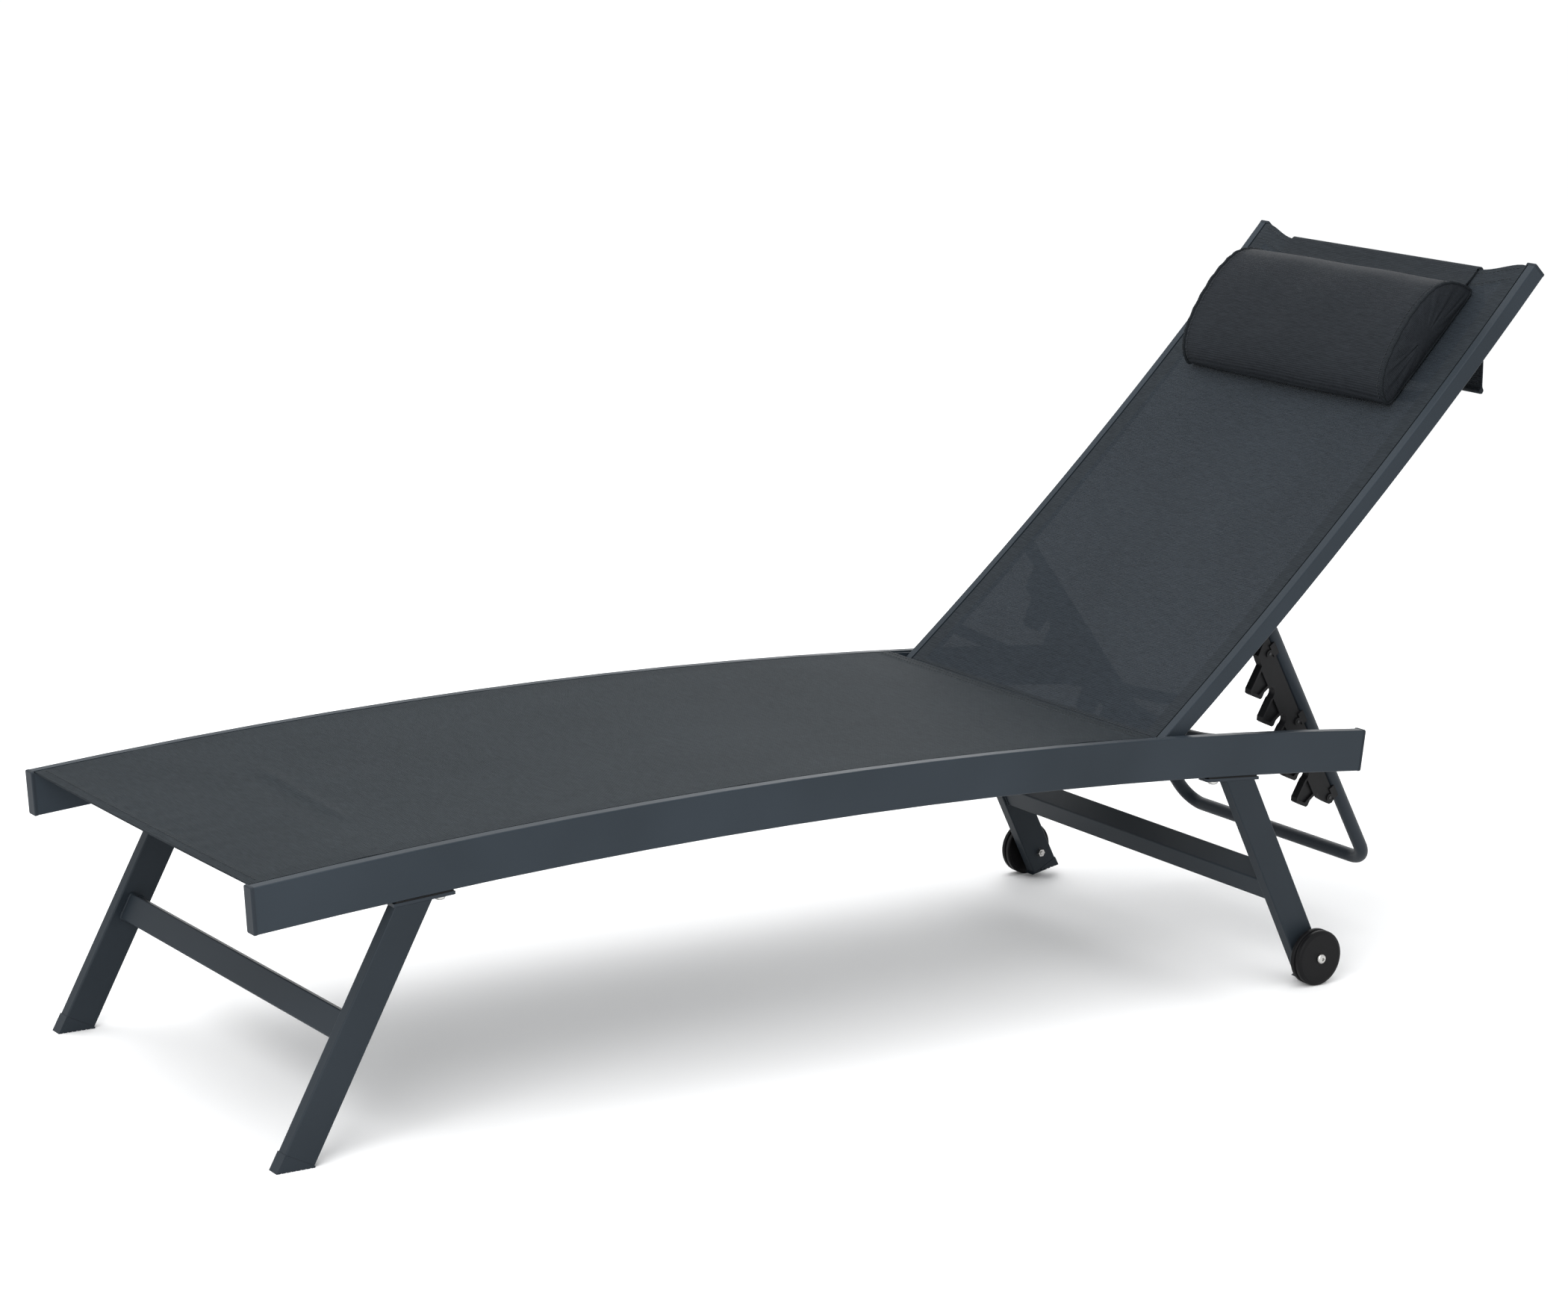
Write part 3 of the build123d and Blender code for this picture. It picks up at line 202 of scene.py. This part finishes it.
PAINT = grain("slate_powder_coat", (0.0152, 0.0211, 0.0272), (0.0258, 0.0343, 0.0440), 0.36, 0.52, 900.0, 0.10, 0.0004, spec=0.13, coat=0.02)
# darker copy of the slate powder coat for the support tube: painted shade
SHADED_TUBE_PAINT = grain("slate_tube_coat_painted_shade", (0.0144, 0.0187, 0.0240), (0.0236, 0.0304, 0.0384), 0.38, 0.54, 900.0, 0.10, 0.0004, spec=0.13, coat=0.02)
CAPS = grain("moulded_slate_caps", (0.0144, 0.0187, 0.0240), (0.0236, 0.0296, 0.0368), 0.46, 0.62, 1500.0, 0.18, 0.0003, spec=0.12)
HOOK = grain("moulded_hook_black", (0.0045, 0.0046, 0.0051), (0.0105, 0.0109, 0.0120), 0.38, 0.56, 1300.0, 0.18, 0.0003, spec=0.12)
WHEEL = grain("moulded_wheel_black", (0.0038, 0.0038, 0.0043), (0.0084, 0.0084, 0.0091), 0.40, 0.58, 1400.0, 0.16, 0.0003, spec=0.11)
PAD = grain("gasket_rubber", (0.008, 0.008, 0.008), (0.016, 0.016, 0.016), 0.7, 0.85, 800.0, 0.2, 0.0003, spec=0.1)
ZINC = grain("zinc_plate", (0.42, 0.42, 0.41), (0.60, 0.59, 0.57), 0.22, 0.38, 700.0, 0.06, 0.0002, metallic=1.0)
DARK = grain("blackened_screws", (0.012, 0.012, 0.013), (0.030, 0.030, 0.032), 0.35, 0.5, 900.0, 0.08, 0.0002, spec=0.3)
WELT = grain("welt_plastic", (0.014, 0.015, 0.017), (0.026, 0.028, 0.030), 0.5, 0.65, 1000.0, 0.15, 0.0003, spec=0.12)
BUSH = grain("bush_nylon", (0.012, 0.012, 0.013), (0.024, 0.024, 0.026), 0.45, 0.6, 1000.0, 0.1, 0.0003, spec=0.12)
SLING = weave("seat_mesh", (0.0098, 0.0121, 0.0140), (0.0325, 0.0394, 0.0452), (1.0, 0.0), 0.0026, 0.0034, alpha=1.0, sheen=0.0)
BACK_SLING = weave("back_mesh", (0.0102, 0.0128, 0.0158), (0.0322, 0.0396, 0.0482), (0.69, 0.724), 0.0026, 0.0034, alpha=0.92, sheen=0.0)
PILLOW = weave("pillow_mesh", (0.0075, 0.0087, 0.0104), (0.0252, 0.0287, 0.0336), (0.69, 0.724), 0.0022, 0.0030, strength=0.6, sheen=0.0)
HEM = weave("hem_mesh", (0.0100, 0.0121, 0.0142), (0.0318, 0.0378, 0.0440), (0.69, 0.724), 0.0026, 0.0034, alpha=1.0, sheen=0.0)
SEAT_HEM = weave("seat_hem_mesh", (0.0088, 0.0109, 0.0128), (0.0308, 0.0375, 0.0432), (1.0, 0.0), 0.0026, 0.0034, alpha=1.0, sheen=0.0)
# darker copy of the slate powder coat for legs, cross bars, foot caps and weld beads: painted shade
SHADED_LEG_PAINT = grain("slate_leg_coat_painted_shade", (0.0118, 0.0160, 0.0203), (0.0200, 0.0262, 0.0330), 0.38, 0.54, 900.0, 0.10, 0.0004, spec=0.11, coat=0.02)
STRAP = weave("strap_mesh", (0.0092, 0.0111, 0.0129), (0.0290, 0.0335, 0.0388), (0.3, 0.954), 0.0026, 0.0034, strength=0.6, sheen=0.0)
PIPING = weave("piping_cloth", (0.0068, 0.0080, 0.0095), (0.0204, 0.0238, 0.0273), (0.69, 0.724), 0.0022, 0.0030, strength=0.5, sheen=0.0)
THREAD = grain("stitch_thread", (0.0186, 0.0214, 0.0237), (0.0384, 0.0428, 0.0467), 0.5, 0.7, 3000.0, 0.3, 0.0002, spec=0.1)

BY_SLOT = {"rail_paint": PAINT, "tube_paint": SHADED_TUBE_PAINT, "fastener_steel": ZINC, "cap_plastic": CAPS, "hook_plastic": HOOK,
           "wheel_plastic": WHEEL, "bush_plastic": BUSH, "pad_rubber": PAD, "keder": WELT, "sling_fabric": SLING,
           "pillow_fabric": PILLOW, "strap_fabric": STRAP}
slot_of = {sp["node"]: sp["material_slot"] for sp in frame["record"]["subparts"]}
for nname, ob in frame["nodes"].items():
    mat = BY_SLOT[slot_of[nname]]
    if nname == "hook_plate_screws":
        mat = DARK
    # legs, cross bars and foot caps get the darker copy of the slate paint, which is painted shade
    elif nname in ("front_leg_left", "front_leg_right", "rear_leg_left", "rear_leg_right", "front_cross_bar", "rear_cross_bar", "front_foot_caps", "rear_foot_caps"):
        mat = SHADED_LEG_PAINT
    if not ob.material_slots:
        ob.data.materials.append(mat)
    for ms in ob.material_slots:
        ms.material = mat


# ---------------------------------------------------------------- mesh helpers
def add_object(name, verts, faces, mat, smooth=True):
    me = bpy.data.meshes.new(name)
    me.from_pydata([tuple(v) for v in verts], [], faces)
    me.update()
    bm = bmesh.new()
    bm.from_mesh(me)
    bmesh.ops.recalc_face_normals(bm, faces=bm.faces)
    bm.to_mesh(me)
    bm.free()
    if smooth:
        for p in me.polygons:
            p.use_smooth = True
    me.materials.append(mat)
    ob = bpy.data.objects.new(name, me)
    bpy.context.scene.collection.objects.link(ob)
    return ob


def sheet_mesh(name, top, bottom, nu, nv, mat):
    """Closed thin sheet: top(i, j) and bottom(i, j) give the two faces' points."""
    verts, faces = [], []
    for f in (top, bottom):
        for i in range(nu + 1):
            for j in range(nv + 1):
                verts.append(f(i / nu, j / nv))
    n = (nu + 1) * (nv + 1)

    def k(i, j, side):
        return side * n + i * (nv + 1) + j
    for i in range(nu):
        for j in range(nv):
            faces.append((k(i, j, 0), k(i + 1, j, 0), k(i + 1, j + 1, 0), k(i, j + 1, 0)))
            faces.append((k(i, j, 1), k(i, j + 1, 1), k(i + 1, j + 1, 1), k(i + 1, j, 1)))
    for i in range(nu):
        faces.append((k(i, 0, 0), k(i, 0, 1), k(i + 1, 0, 1), k(i + 1, 0, 0)))
        faces.append((k(i, nv, 0), k(i + 1, nv, 0), k(i + 1, nv, 1), k(i, nv, 1)))
    for j in range(nv):
        faces.append((k(0, j, 0), k(0, j + 1, 0), k(0, j + 1, 1), k(0, j, 1)))
        faces.append((k(nu, j, 0), k(nu, j, 1), k(nu, j + 1, 1), k(nu, j + 1, 0)))
    ob = add_object(name, verts, faces, mat)
    try:
        ob.data.set_sharp_from_angle(angle=radians(50))
    except AttributeError:
        pass
    return ob


def paint_hem(ob, mat, nu, nv, inside):
    """Doubled cloth: the faces where inside(i, j) is below 0 take the hem's material."""
    ob.data.materials.append(mat)
    for n, p in enumerate(ob.data.polygons):
        if n < 2 * nu * nv:
            i, j = divmod(n // 2, nv)
            if inside((i + 0.5) / nu, (j + 0.5) / nv) < 0:
                p.material_index = 1
        else:
            p.material_index = 1


def tube_mesh(name, pts, radius, mat, closed=False, sides=10, wobble=0.0):
    pts = [Vector(p) for p in pts]
    n = len(pts)
    verts, faces = [], []
    prev = None
    for i, p in enumerate(pts):
        a = pts[(i - 1) % n] if closed or i > 0 else pts[0]
        b = pts[(i + 1) % n] if closed or i < n - 1 else pts[-1]
        t = (b - a).normalized()
        if prev is None:
            up = Vector((0, 0, 1)) if abs(t.z) < 0.9 else Vector((1, 0, 0))
            side = t.cross(up).normalized()
        else:
            side = (prev - t * prev.dot(t)).normalized()
        prev = side
        other = t.cross(side)
        r = radius * (1 + wobble * random.uniform(-1, 1))
        for k in range(sides):
            ang = 2 * pi * k / sides
            verts.append(p + side * (r * cos(ang)) + other * (r * sin(ang)))
    rings = n if closed else n - 1
    for i in range(rings):
        for k in range(sides):
            i2, k2 = (i + 1) % n, (k + 1) % sides
            faces.append((i * sides + k, i * sides + k2, i2 * sides + k2, i2 * sides + k))
    if not closed:
        faces.append(tuple(range(sides))[::-1])
        faces.append(tuple((n - 1) * sides + k for k in range(sides)))
    return add_object(name, verts, faces, mat)


def stitch_mesh(name, lines, mat, length=0.0042, gap=0.0022, radius=0.00045):
    """Rows of stitches. lines = lists of (point, normal) along the seam."""
    verts, faces = [], []
    for line in lines:
        pts = [Vector(p) for p, _ in line]
        nrm = [Vector(nv_) for _, nv_ in line]
        cum = [0.0]
        for i in range(1, len(pts)):
            cum.append(cum[-1] + (pts[i] - pts[i - 1]).length)

        def at(d):
            for i in range(1, len(cum)):
                if d <= cum[i]:
                    f = (d - cum[i - 1]) / max(1e-9, cum[i] - cum[i - 1])
                    return pts[i - 1].lerp(pts[i], f), nrm[i - 1].lerp(nrm[i], f).normalized()
            return pts[-1], nrm[-1]
        d = gap
        while d + length < cum[-1]:
            base = len(verts)
            jit = random.uniform(-0.0002, 0.0002)
            prof = ((0.0, 0.35, -0.3), (0.18, 0.9, 0.35), (0.5, 1.0, 0.7), (0.82, 0.9, 0.35), (1.0, 0.35, -0.3))
            for f, rr, lift in prof:
                p, nn = at(d + jit + f * length)
                q, _ = at(min(cum[-1], d + jit + f * length + 0.0005))
                t = (q - p)
                t = t.normalized() if t.length > 1e-7 else Vector((0, 1, 0))
                side = t.cross(nn).normalized()
                for k in range(6):
                    ang = 2 * pi * k / 6
                    verts.append(p + nn * (lift * radius) + side * (radius * rr * 1.2 * cos(ang)) + nn * (radius * rr * sin(ang)))
            for a in range(4):
                for k in range(6):
                    k2 = (k + 1) % 6
                    faces.append((base + a * 6 + k, base + a * 6 + k2, base + (a + 1) * 6 + k2, base + (a + 1) * 6 + k))
            faces.append(tuple(base + k for k in range(6))[::-1])
            faces.append(tuple(base + 24 + k for k in range(6)))
            d += length + gap
    return add_object(name, verts, faces, mat)


def smooth_step(a, b, x):
    t = min(1.0, max(0.0, (x - a) / (b - a)))
    return t * t * (3 - 2 * t)


# ---------------------------------------------------------------- seat sling
SEAT_Y = 0.2846
ST0, ST1 = 0.003, SLING_END


def seat_lift(st, y):
    edge = 1 - (y / SEAT_Y) ** 2
    ends = smooth_step(0.0, 0.25, st - ST0) * smooth_step(0.0, 0.25, ST1 - st)
    sag = -0.0045 * edge * (0.35 + 0.65 * ends)
    # a soft crease across the middle near the foot, and slight tension folds behind it
    line = st - (0.214 + 0.010 * sin(5.0 * y + 0.4) + 0.03 * y)
    along = smooth_step(-0.155, -0.085, y) * smooth_step(0.155, 0.075, y)
    fold = (0.0021 * math.exp(-(line / 0.0085) ** 2) - 0.0010 * math.exp(-((line + 0.022) / 0.016) ** 2)) * along
    fold += 0.0005 * sin(2 * pi * (0.55 * (st - 0.2) / 0.13 + 0.8 * (y - 0.05) / 0.2)) * math.exp(-((st - 0.26) / 0.12) ** 2 - ((y - 0.06) / 0.13) ** 2)
    pucker = 0.00035 * sin(2 * pi * y / 0.041 + 1.3) * math.exp(-(st - ST0 - 0.03) / 0.03) * smooth_step(0.0, 0.03, st - ST0) * edge
    spread = 0.0
    for c, amp in ((0.150, 0.0007), (0.660, 0.0005), (1.190, 0.0007)):
        spread += amp * math.exp(-((st - c) / 0.02) ** 2) * (1 - edge)
    return sag + fold + pucker + spread


def hem_extra(d, width=0.030, rise=0.0009):
    return rise * (1 - smooth_step(width - 0.0015, width + 0.0015, d))


def seat_top(i, j):
    st = ST0 + (ST1 - ST0) * i
    y = -SEAT_Y + 2 * SEAT_Y * j
    h = max(hem_extra(st - ST0, 0.016), hem_extra(ST1 - st, 0.022)) * smooth_step(0.0, 0.012, SEAT_Y - abs(y))
    (x, z), (nx, nz) = seat_frame_at(st, seat_lift(st, y) + 0.0007 + h)
    return (x, y, z)


def seat_bottom(i, j):
    st = ST0 + (ST1 - ST0) * i
    y = -SEAT_Y + 2 * SEAT_Y * j
    (x, z), _ = seat_frame_at(st, seat_lift(st, y) - 0.0007)
    return (x, y, z)


seat_cloth = sheet_mesh("seat_sling_cloth", seat_top, seat_bottom, 330, 72, SLING)
paint_hem(seat_cloth, SEAT_HEM, 330, 72, lambda i, j: min((ST1 - ST0) * min(i, 1 - i) - 0.016, 2 * SEAT_Y * min(j, 1 - j) - 0.020))
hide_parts("seat_sling")
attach(seat_cloth, "seat_frame")


def seat_seam(st, y0=-0.279, y1=0.279, n=90):
    out = []
    for k in range(n + 1):
        y = y0 + (y1 - y0) * k / n
        h = max(hem_extra(st - ST0, 0.016), hem_extra(ST1 - st, 0.022))
        (x, z), (nx, nz) = seat_frame_at(st, seat_lift(st, y) + 0.0008 + h)
        out.append(((x, y, z), (nx, 0, nz)))
    return out


seat_stitches = stitch_mesh("seat_hem_stitches", [seat_seam(ST0 + 0.0125), seat_seam(ST1 - 0.0065), seat_seam(ST1 - 0.0185)], THREAD)
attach(seat_stitches, "seat_frame")

# ---------------------------------------------------------------- backrest sling
BACK_Y = 0.2646
S0 = -0.005


def s_top(y):
    return 0.8560 + 0.0190 * smooth_step(0.180, 0.262, abs(y)) ** 1.3


def back_lift(s, y):
    edge = 1 - (y / BACK_Y) ** 2
    ends = smooth_step(0.0, 0.2, s - S0) * smooth_step(0.0, 0.2, 0.868 - s)
    return -0.0050 * edge * (0.2 + 0.8 * ends) + 0.0006 * sin(2 * pi * s / 0.31) * edge


def back_face(i, j, off, extra):
    y = -BACK_Y + 2 * BACK_Y * j
    s = S0 + (s_top(y) - S0) * i
    h = max(hem_extra(s - S0), hem_extra(s_top(y) - s)) * smooth_step(0.0, 0.012, BACK_Y - abs(y)) if extra else 0.0
    (x, z), (nx, nz) = back_at(s, -0.001 + off + back_lift(s, y) + h)
    return (x, y, z)


back_cloth = sheet_mesh("backrest_sling_cloth", lambda i, j: back_face(i, j, 0.0007, True), lambda i, j: back_face(i, j, -0.0007, False), 230, 68, BACK_SLING)
paint_hem(back_cloth, HEM, 230, 68, lambda i, j: min(0.861 * min(i, 1 - i) - 0.030, 2 * BACK_Y * min(j, 1 - j) - 0.024))
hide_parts("backrest_sling")
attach(back_cloth, "backrest")


def back_seam(ds, from_top, n=90):
    out = []
    for k in range(n + 1):
        y = -0.258 + 0.516 * k / n
        s = s_top(y) - ds if from_top else S0 + ds
        (x, z), (nx, nz) = back_at(s, -0.001 + 0.0008 + back_lift(s, y) + 0.0009)
        out.append(((x, y, z), (nx, 0, nz)))
    return out


back_stitches = stitch_mesh("backrest_hem_stitches", [back_seam(0.0065, False), back_seam(0.0255, False), back_seam(0.0065, True), back_seam(0.0255, True)], THREAD)
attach(back_stitches, "backrest")

# ---------------------------------------------------------------- head pillow
OUTLINE = [(0.614, 0.0025), (0.6115, 0.017), (0.620, 0.032), (0.634, 0.043), (0.652, 0.0515), (0.684, 0.0600), (0.723, 0.0650), (0.756, 0.0632),
           (0.780, 0.0570), (0.798, 0.0440), (0.809, 0.0285), (0.8155, 0.0125), (0.813, 0.0025), (0.770, 0.0020), (0.714, 0.0020), (0.655, 0.0020)]


def catmull(pts, per):
    out = []
    n = len(pts)
    for i in range(n):
        p0, p1, p2, p3 = (pts[(i + k - 1) % n] for k in range(4))
        for k in range(per):
            t = k / per
            out.append(tuple(0.5 * (2 * p1[c] + (-p0[c] + p2[c]) * t + (2 * p0[c] - 5 * p1[c] + 4 * p2[c] - p3[c]) * t * t
                                    + (-p0[c] + 3 * p1[c] - 3 * p2[c] + p3[c]) * t ** 3) for c in (0, 1)))
    return out


LOOP = catmull(OUTLINE, 5)
PC = (0.714, 0.026)
PILLOW_Y = 0.2060
N_ACROSS = 64


def pillow_ring(y, grow, shift=0.0):
    ring = []
    for k, (s, off) in enumerate(LOOP):
        fs, fo = PC[0] + (s - PC[0]) * grow, PC[1] + (off - PC[1]) * grow
        if off < 0.0035:
            fo = max(fo, 0.0016)
        # the cover gathers a little along the end seams and across the front
        near = math.exp(-(PILLOW_Y - abs(y)) / 0.018)
        if off > 0.01:
            fo += 0.0007 * sin(k * 1.9 + 2.0) * near + 0.0008 * sin(2 * pi * y / 0.17 + s * 21) * (1 - near)
        (x, z), _ = back_at(fs, fo)
        ring.append((x, y + shift, z))
    return ring


verts, faces = [], []
ys = []
for k in range(N_ACROSS + 1):
    f = -1 + 2 * k / N_ACROSS
    ys.append(PILLOW_Y * math.copysign(1 - (1 - abs(f)) ** 1.25, f))
for y in ys:
    crown = 1.0 + 0.012 * (1 - (y / PILLOW_Y) ** 2) - 0.020 * math.exp(-(PILLOW_Y - abs(y)) / 0.006)
    verts += pillow_ring(y, crown)
L = len(LOOP)
for r in range(N_ACROSS):
    for k in range(L):
        k2 = (k + 1) % L
        faces.append((r * L + k, r * L + k2, (r + 1) * L + k2, (r + 1) * L + k))
# padded end panels, gently domed
for side, first in ((-1, 0), (1, N_ACROSS * L)):
    last = first
    for grow, bulge in ((0.95, 0.0010), (0.88, 0.0018), (0.78, 0.0028), (0.66, 0.0036), (0.52, 0.0042), (0.36, 0.0047), (0.18, 0.0050)):
        base = len(verts)
        ring = pillow_ring(side * PILLOW_Y, grow * 0.98, side * bulge)
        amp = 0.00045 * smooth_step(0.30, 0.62, grow) * smooth_step(1.0, 0.86, grow)
        verts += [(p[0], p[1] + side * amp * (sin(k * 0.95 + 0.6) + 0.6 * sin(k * 1.7 + 2.1)), p[2]) for k, p in enumerate(ring)]
        for k in range(L):
            k2 = (k + 1) % L
            faces.append((last + k, last + k2, base + k2, base + k))
        last = base
    faces.append(tuple(last + k for k in range(L)))
pillow = add_object("head_pillow_cover", verts, faces, PILLOW)
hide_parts("head_pillow")
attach(pillow, "pillow")

for side, label in ((-1, "left"), (1, "right")):
    ring = [p for p in pillow_ring(side * (PILLOW_Y - 0.001), 0.992)]
    pip = tube_mesh("pillow_piping_" + label, ring, 0.0023, PIPING, closed=True, sides=8)
    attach(pip, "pillow")


def pillow_row(y, grow=1.0):
    out = []
    ring = pillow_ring(y, grow)
    for k, p in enumerate(ring):
        if LOOP[k][1] > 0.012:
            c, _ = back_at(*PC)
            nv_ = Vector((p[0] - c[0], 0, p[2] - c[1])).normalized()
            out.append((tuple(Vector(p) + nv_ * 0.0006), tuple(nv_)))
    return out


pst = stitch_mesh("pillow_seam_stitches", [pillow_row(-PILLOW_Y + 0.0085, 1.004), pillow_row(PILLOW_Y - 0.0085, 1.004)], THREAD, length=0.0035)
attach(pst, "pillow")

# ---------------------------------------------------------------- strap over the top edge
STRAP_0, STRAP_1 = 0.8160, 0.8552


def strap_face(i, j, side):
    s = STRAP_0 + (STRAP_1 - STRAP_0) * i
    y = -STRAP_W + 2 * STRAP_W * j
    base = 0.00112 + 0.0020 * (1 - smooth_step(0.816, 0.842, s))
    t = STRAP_T / 2
    (x, z), _ = back_at(s, base + t + side * t + 0.0003 * sin(2 * pi * y / 0.09) * (1 - i) + 0.0004 * (1 - i))
    return (x, y, z)


strap = sheet_mesh("pillow_strap_cloth", lambda i, j: strap_face(i, j, 1), lambda i, j: strap_face(i, j, -1), 24, 60, STRAP)
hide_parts("pillow_strap")
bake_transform(strap)

(tcx, tcz), _ = back_at(TURN_S, TURN_OFF)
a_end = BACK_A0 + TURN_S / (BACK_R + BACK_H / 2)
BACK_UP = atan2(cos(a_end), -sin(a_end))


TURN_MORE = radians(26.5)      # stays under the strap, and shows when the backrest is raised


def turn_face(i, j, side):
    ang = (BACK_UP + TURN_MORE) * (1 - i)
    y = -STRAP_W + 2 * STRAP_W * j
    r = TURN_R + STRAP_T / 2 + side * STRAP_T / 2
    return (tcx + r * cos(ang), y, tcz + r * sin(ang))


turn = sheet_mesh("strap_turn_cloth", lambda i, j: turn_face(i, j, 1), lambda i, j: turn_face(i, j, -1), 20, 60, STRAP)
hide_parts("strap_turn")
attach(turn, "strap_bend")

# flap with a rod sewn into its lower hem
FLAP_X = tcx + TURN_R
FLAP_LOW = 0.772


def flap_face(i, j, side):
    y = -STRAP_W + 2 * STRAP_W * j
    z = tcz + (0.7636 - tcz) * i
    cx = FLAP_X + STRAP_T / 2 + (FLAP_LEAN + STRAP_T + FLAP_GAP) * min(1.0, (tcz - z) / (tcz - FLAP_LOW))
    bow = 0.0016 * sin(pi * i) * sin(2 * pi * y / 0.23 + 0.6) + 0.0012 * sin(pi * i)
    cas = 0.0029 * math.exp(-((z - (FLAP_LOW - 0.0042)) / 0.0036) ** 2)
    return (cx + bow + side * (STRAP_T / 2 + cas), y, z)


flap = sheet_mesh("strap_flap_cloth", lambda i, j: flap_face(i, j, 1), lambda i, j: flap_face(i, j, -1), 120, 60, STRAP)
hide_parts("strap_flap", "flap_weight_bar")
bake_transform(flap)


def flap_row(z, side):
    out = []
    for k in range(61):
        j = 0.02 + 0.96 * k / 60
        i = (z - tcz) / (0.7636 - tcz)
        p = flap_face(i, j, side)
        out.append(((p[0] + side * 0.0002, p[1], p[2]), (side, 0, 0)))
    return out


def flap_col(j, side):
    out = []
    for k in range(61):
        i = 0.02 + 0.92 * k / 60
        p = flap_face(i, j, side)
        out.append(((p[0] + side * 0.0002, p[1], p[2]), (side, 0, 0)))
    return out


fst = stitch_mesh("flap_stitches", [flap_row(0.7765, 1), flap_row(0.7765, -1), flap_col(0.018, 1), flap_col(0.982, 1), flap_col(0.018, -1), flap_col(0.982, -1)], THREAD)
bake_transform(fst)


# ---------------------------------------------------------------- weld beads of the cross bars
def weld(name, cx, cz, half_a, half_b, tilt, y, body="seat_frame"):
    pts = []
    r = 0.003
    corner = []
    for sx, sz, a0 in ((1, 1, 0), (-1, 1, 90), (-1, -1, 180), (1, -1, 270)):
        for k in range(5):
            ang = radians(a0 + 22.5 * k)
            corner.append((sx * (half_a - r) + r * cos(ang), sz * (half_b - r) + r * sin(ang)))
    dense = []
    n = len(corner)
    for i in range(n):
        p, q = corner[i], corner[(i + 1) % n]
        m = max(1, int(math.hypot(q[0] - p[0], q[1] - p[1]) / 0.0022))
        for k in range(m):
            dense.append((p[0] + (q[0] - p[0]) * k / m, p[1] + (q[1] - p[1]) * k / m))
    for a, b in dense:
        pts.append((cx + a * cos(tilt) + b * sin(tilt), y, cz - a * sin(tilt) + b * cos(tilt)))
    # the weld beads take the darker leg copy of the slate paint, which is painted shade
    ob = tube_mesh(name, pts, 0.0019, SHADED_LEG_PAINT, closed=True, sides=8, wobble=0.16)
    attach(ob, body)


for nm, bar in (("front", "front_cross_bar"), ("rear", "rear_cross_bar")):
    lo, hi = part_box(bar)
    cx, cz = (lo[0] + hi[0]) / 2, (lo[2] + hi[2]) / 2
    if nm == "front":
        ha, hb, tilt = 0.010, 0.017, atan2(0.5027, 1)
    else:
        ha, hb, tilt = 0.017, 0.017, -atan2(0.54, 1)
    for side, label in ((-1, "left"), (1, "right")):
        weld("weld_%s_%s" % (nm, label), cx, cz, ha, hb, tilt, side * 0.2806)

# ---------------------------------------------------------------- camera
cam_data = bpy.data.cameras.new("camera")
cam = bpy.data.objects.new("camera", cam_data)
bpy.context.scene.collection.objects.link(cam)
A, E, RO = radians(35.179), radians(12.328), radians(2.0565)
d = Vector((sin(A) * cos(E), cos(A) * cos(E), -sin(E)))
r = Vector((cos(A), -sin(A), 0.0))
u = r.cross(d)
r2 = r * cos(RO) + u * sin(RO)
u2 = -r * sin(RO) + u * cos(RO)
m = Matrix((r2, u2, -d)).transposed().to_4x4()
m.translation = Vector((-1.93632 - ORG, -4.04132, 1.53758))
cam.matrix_world = m
cam_data.sensor_fit = "HORIZONTAL"
cam_data.sensor_width = 36.0
cam_data.lens = 90.06
cam_data.clip_end = 200.0
bpy.context.scene.camera = cam

# ---------------------------------------------------------------- floor, light
fm, fnt, fbs = new_mat("pale_floor")
fbs.inputs["Base Color"].default_value = (0.95, 0.95, 0.95, 1)
fbs.inputs["Roughness"].default_value = 0.9
fbs.inputs["Specular IOR Level"].default_value = 0.0
floor = add_object("floor", [(-60, -60, 0), (60, -60, 0), (60, 60, 0), (-60, 60, 0)], [(0, 1, 2, 3)], fm, smooth=False)

world = bpy.data.worlds.new("studio")
bpy.context.scene.world = world
world.use_nodes = True
world.node_tree.nodes["Background"].inputs["Color"].default_value = (0.985, 0.993, 1.0, 1)
world.node_tree.nodes["Background"].inputs["Strength"].default_value = 1.09


def area(name, loc, target, size, power, color=(1, 1, 1)):
    ld = bpy.data.lights.new(name, "AREA")
    ld.shape = "RECTANGLE"
    ld.size, ld.size_y = size
    ld.energy = power
    ld.color = color
    ob = bpy.data.objects.new(name, ld)
    bpy.context.scene.collection.objects.link(ob)
    ob.location = loc
    ob.rotation_euler = (Vector(target) - Vector(loc)).to_track_quat("-Z", "Y").to_euler()


area("key", (-3.4, -2.4, 2.6), (-0.3, 0, 0.3), (2.4, 2.4), 120)
area("top", (-0.6, 0.4, 4.2), (-0.1, 0, 0.3), (4.0, 3.0), 90)
area("rim", (2.8, 2.6, 2.4), (0.2, 0, 0.5), (2.0, 2.0), 30)
bpy.context.scene.view_settings.view_transform = "Standard"
bpy.context.scene.view_settings.look = "None"
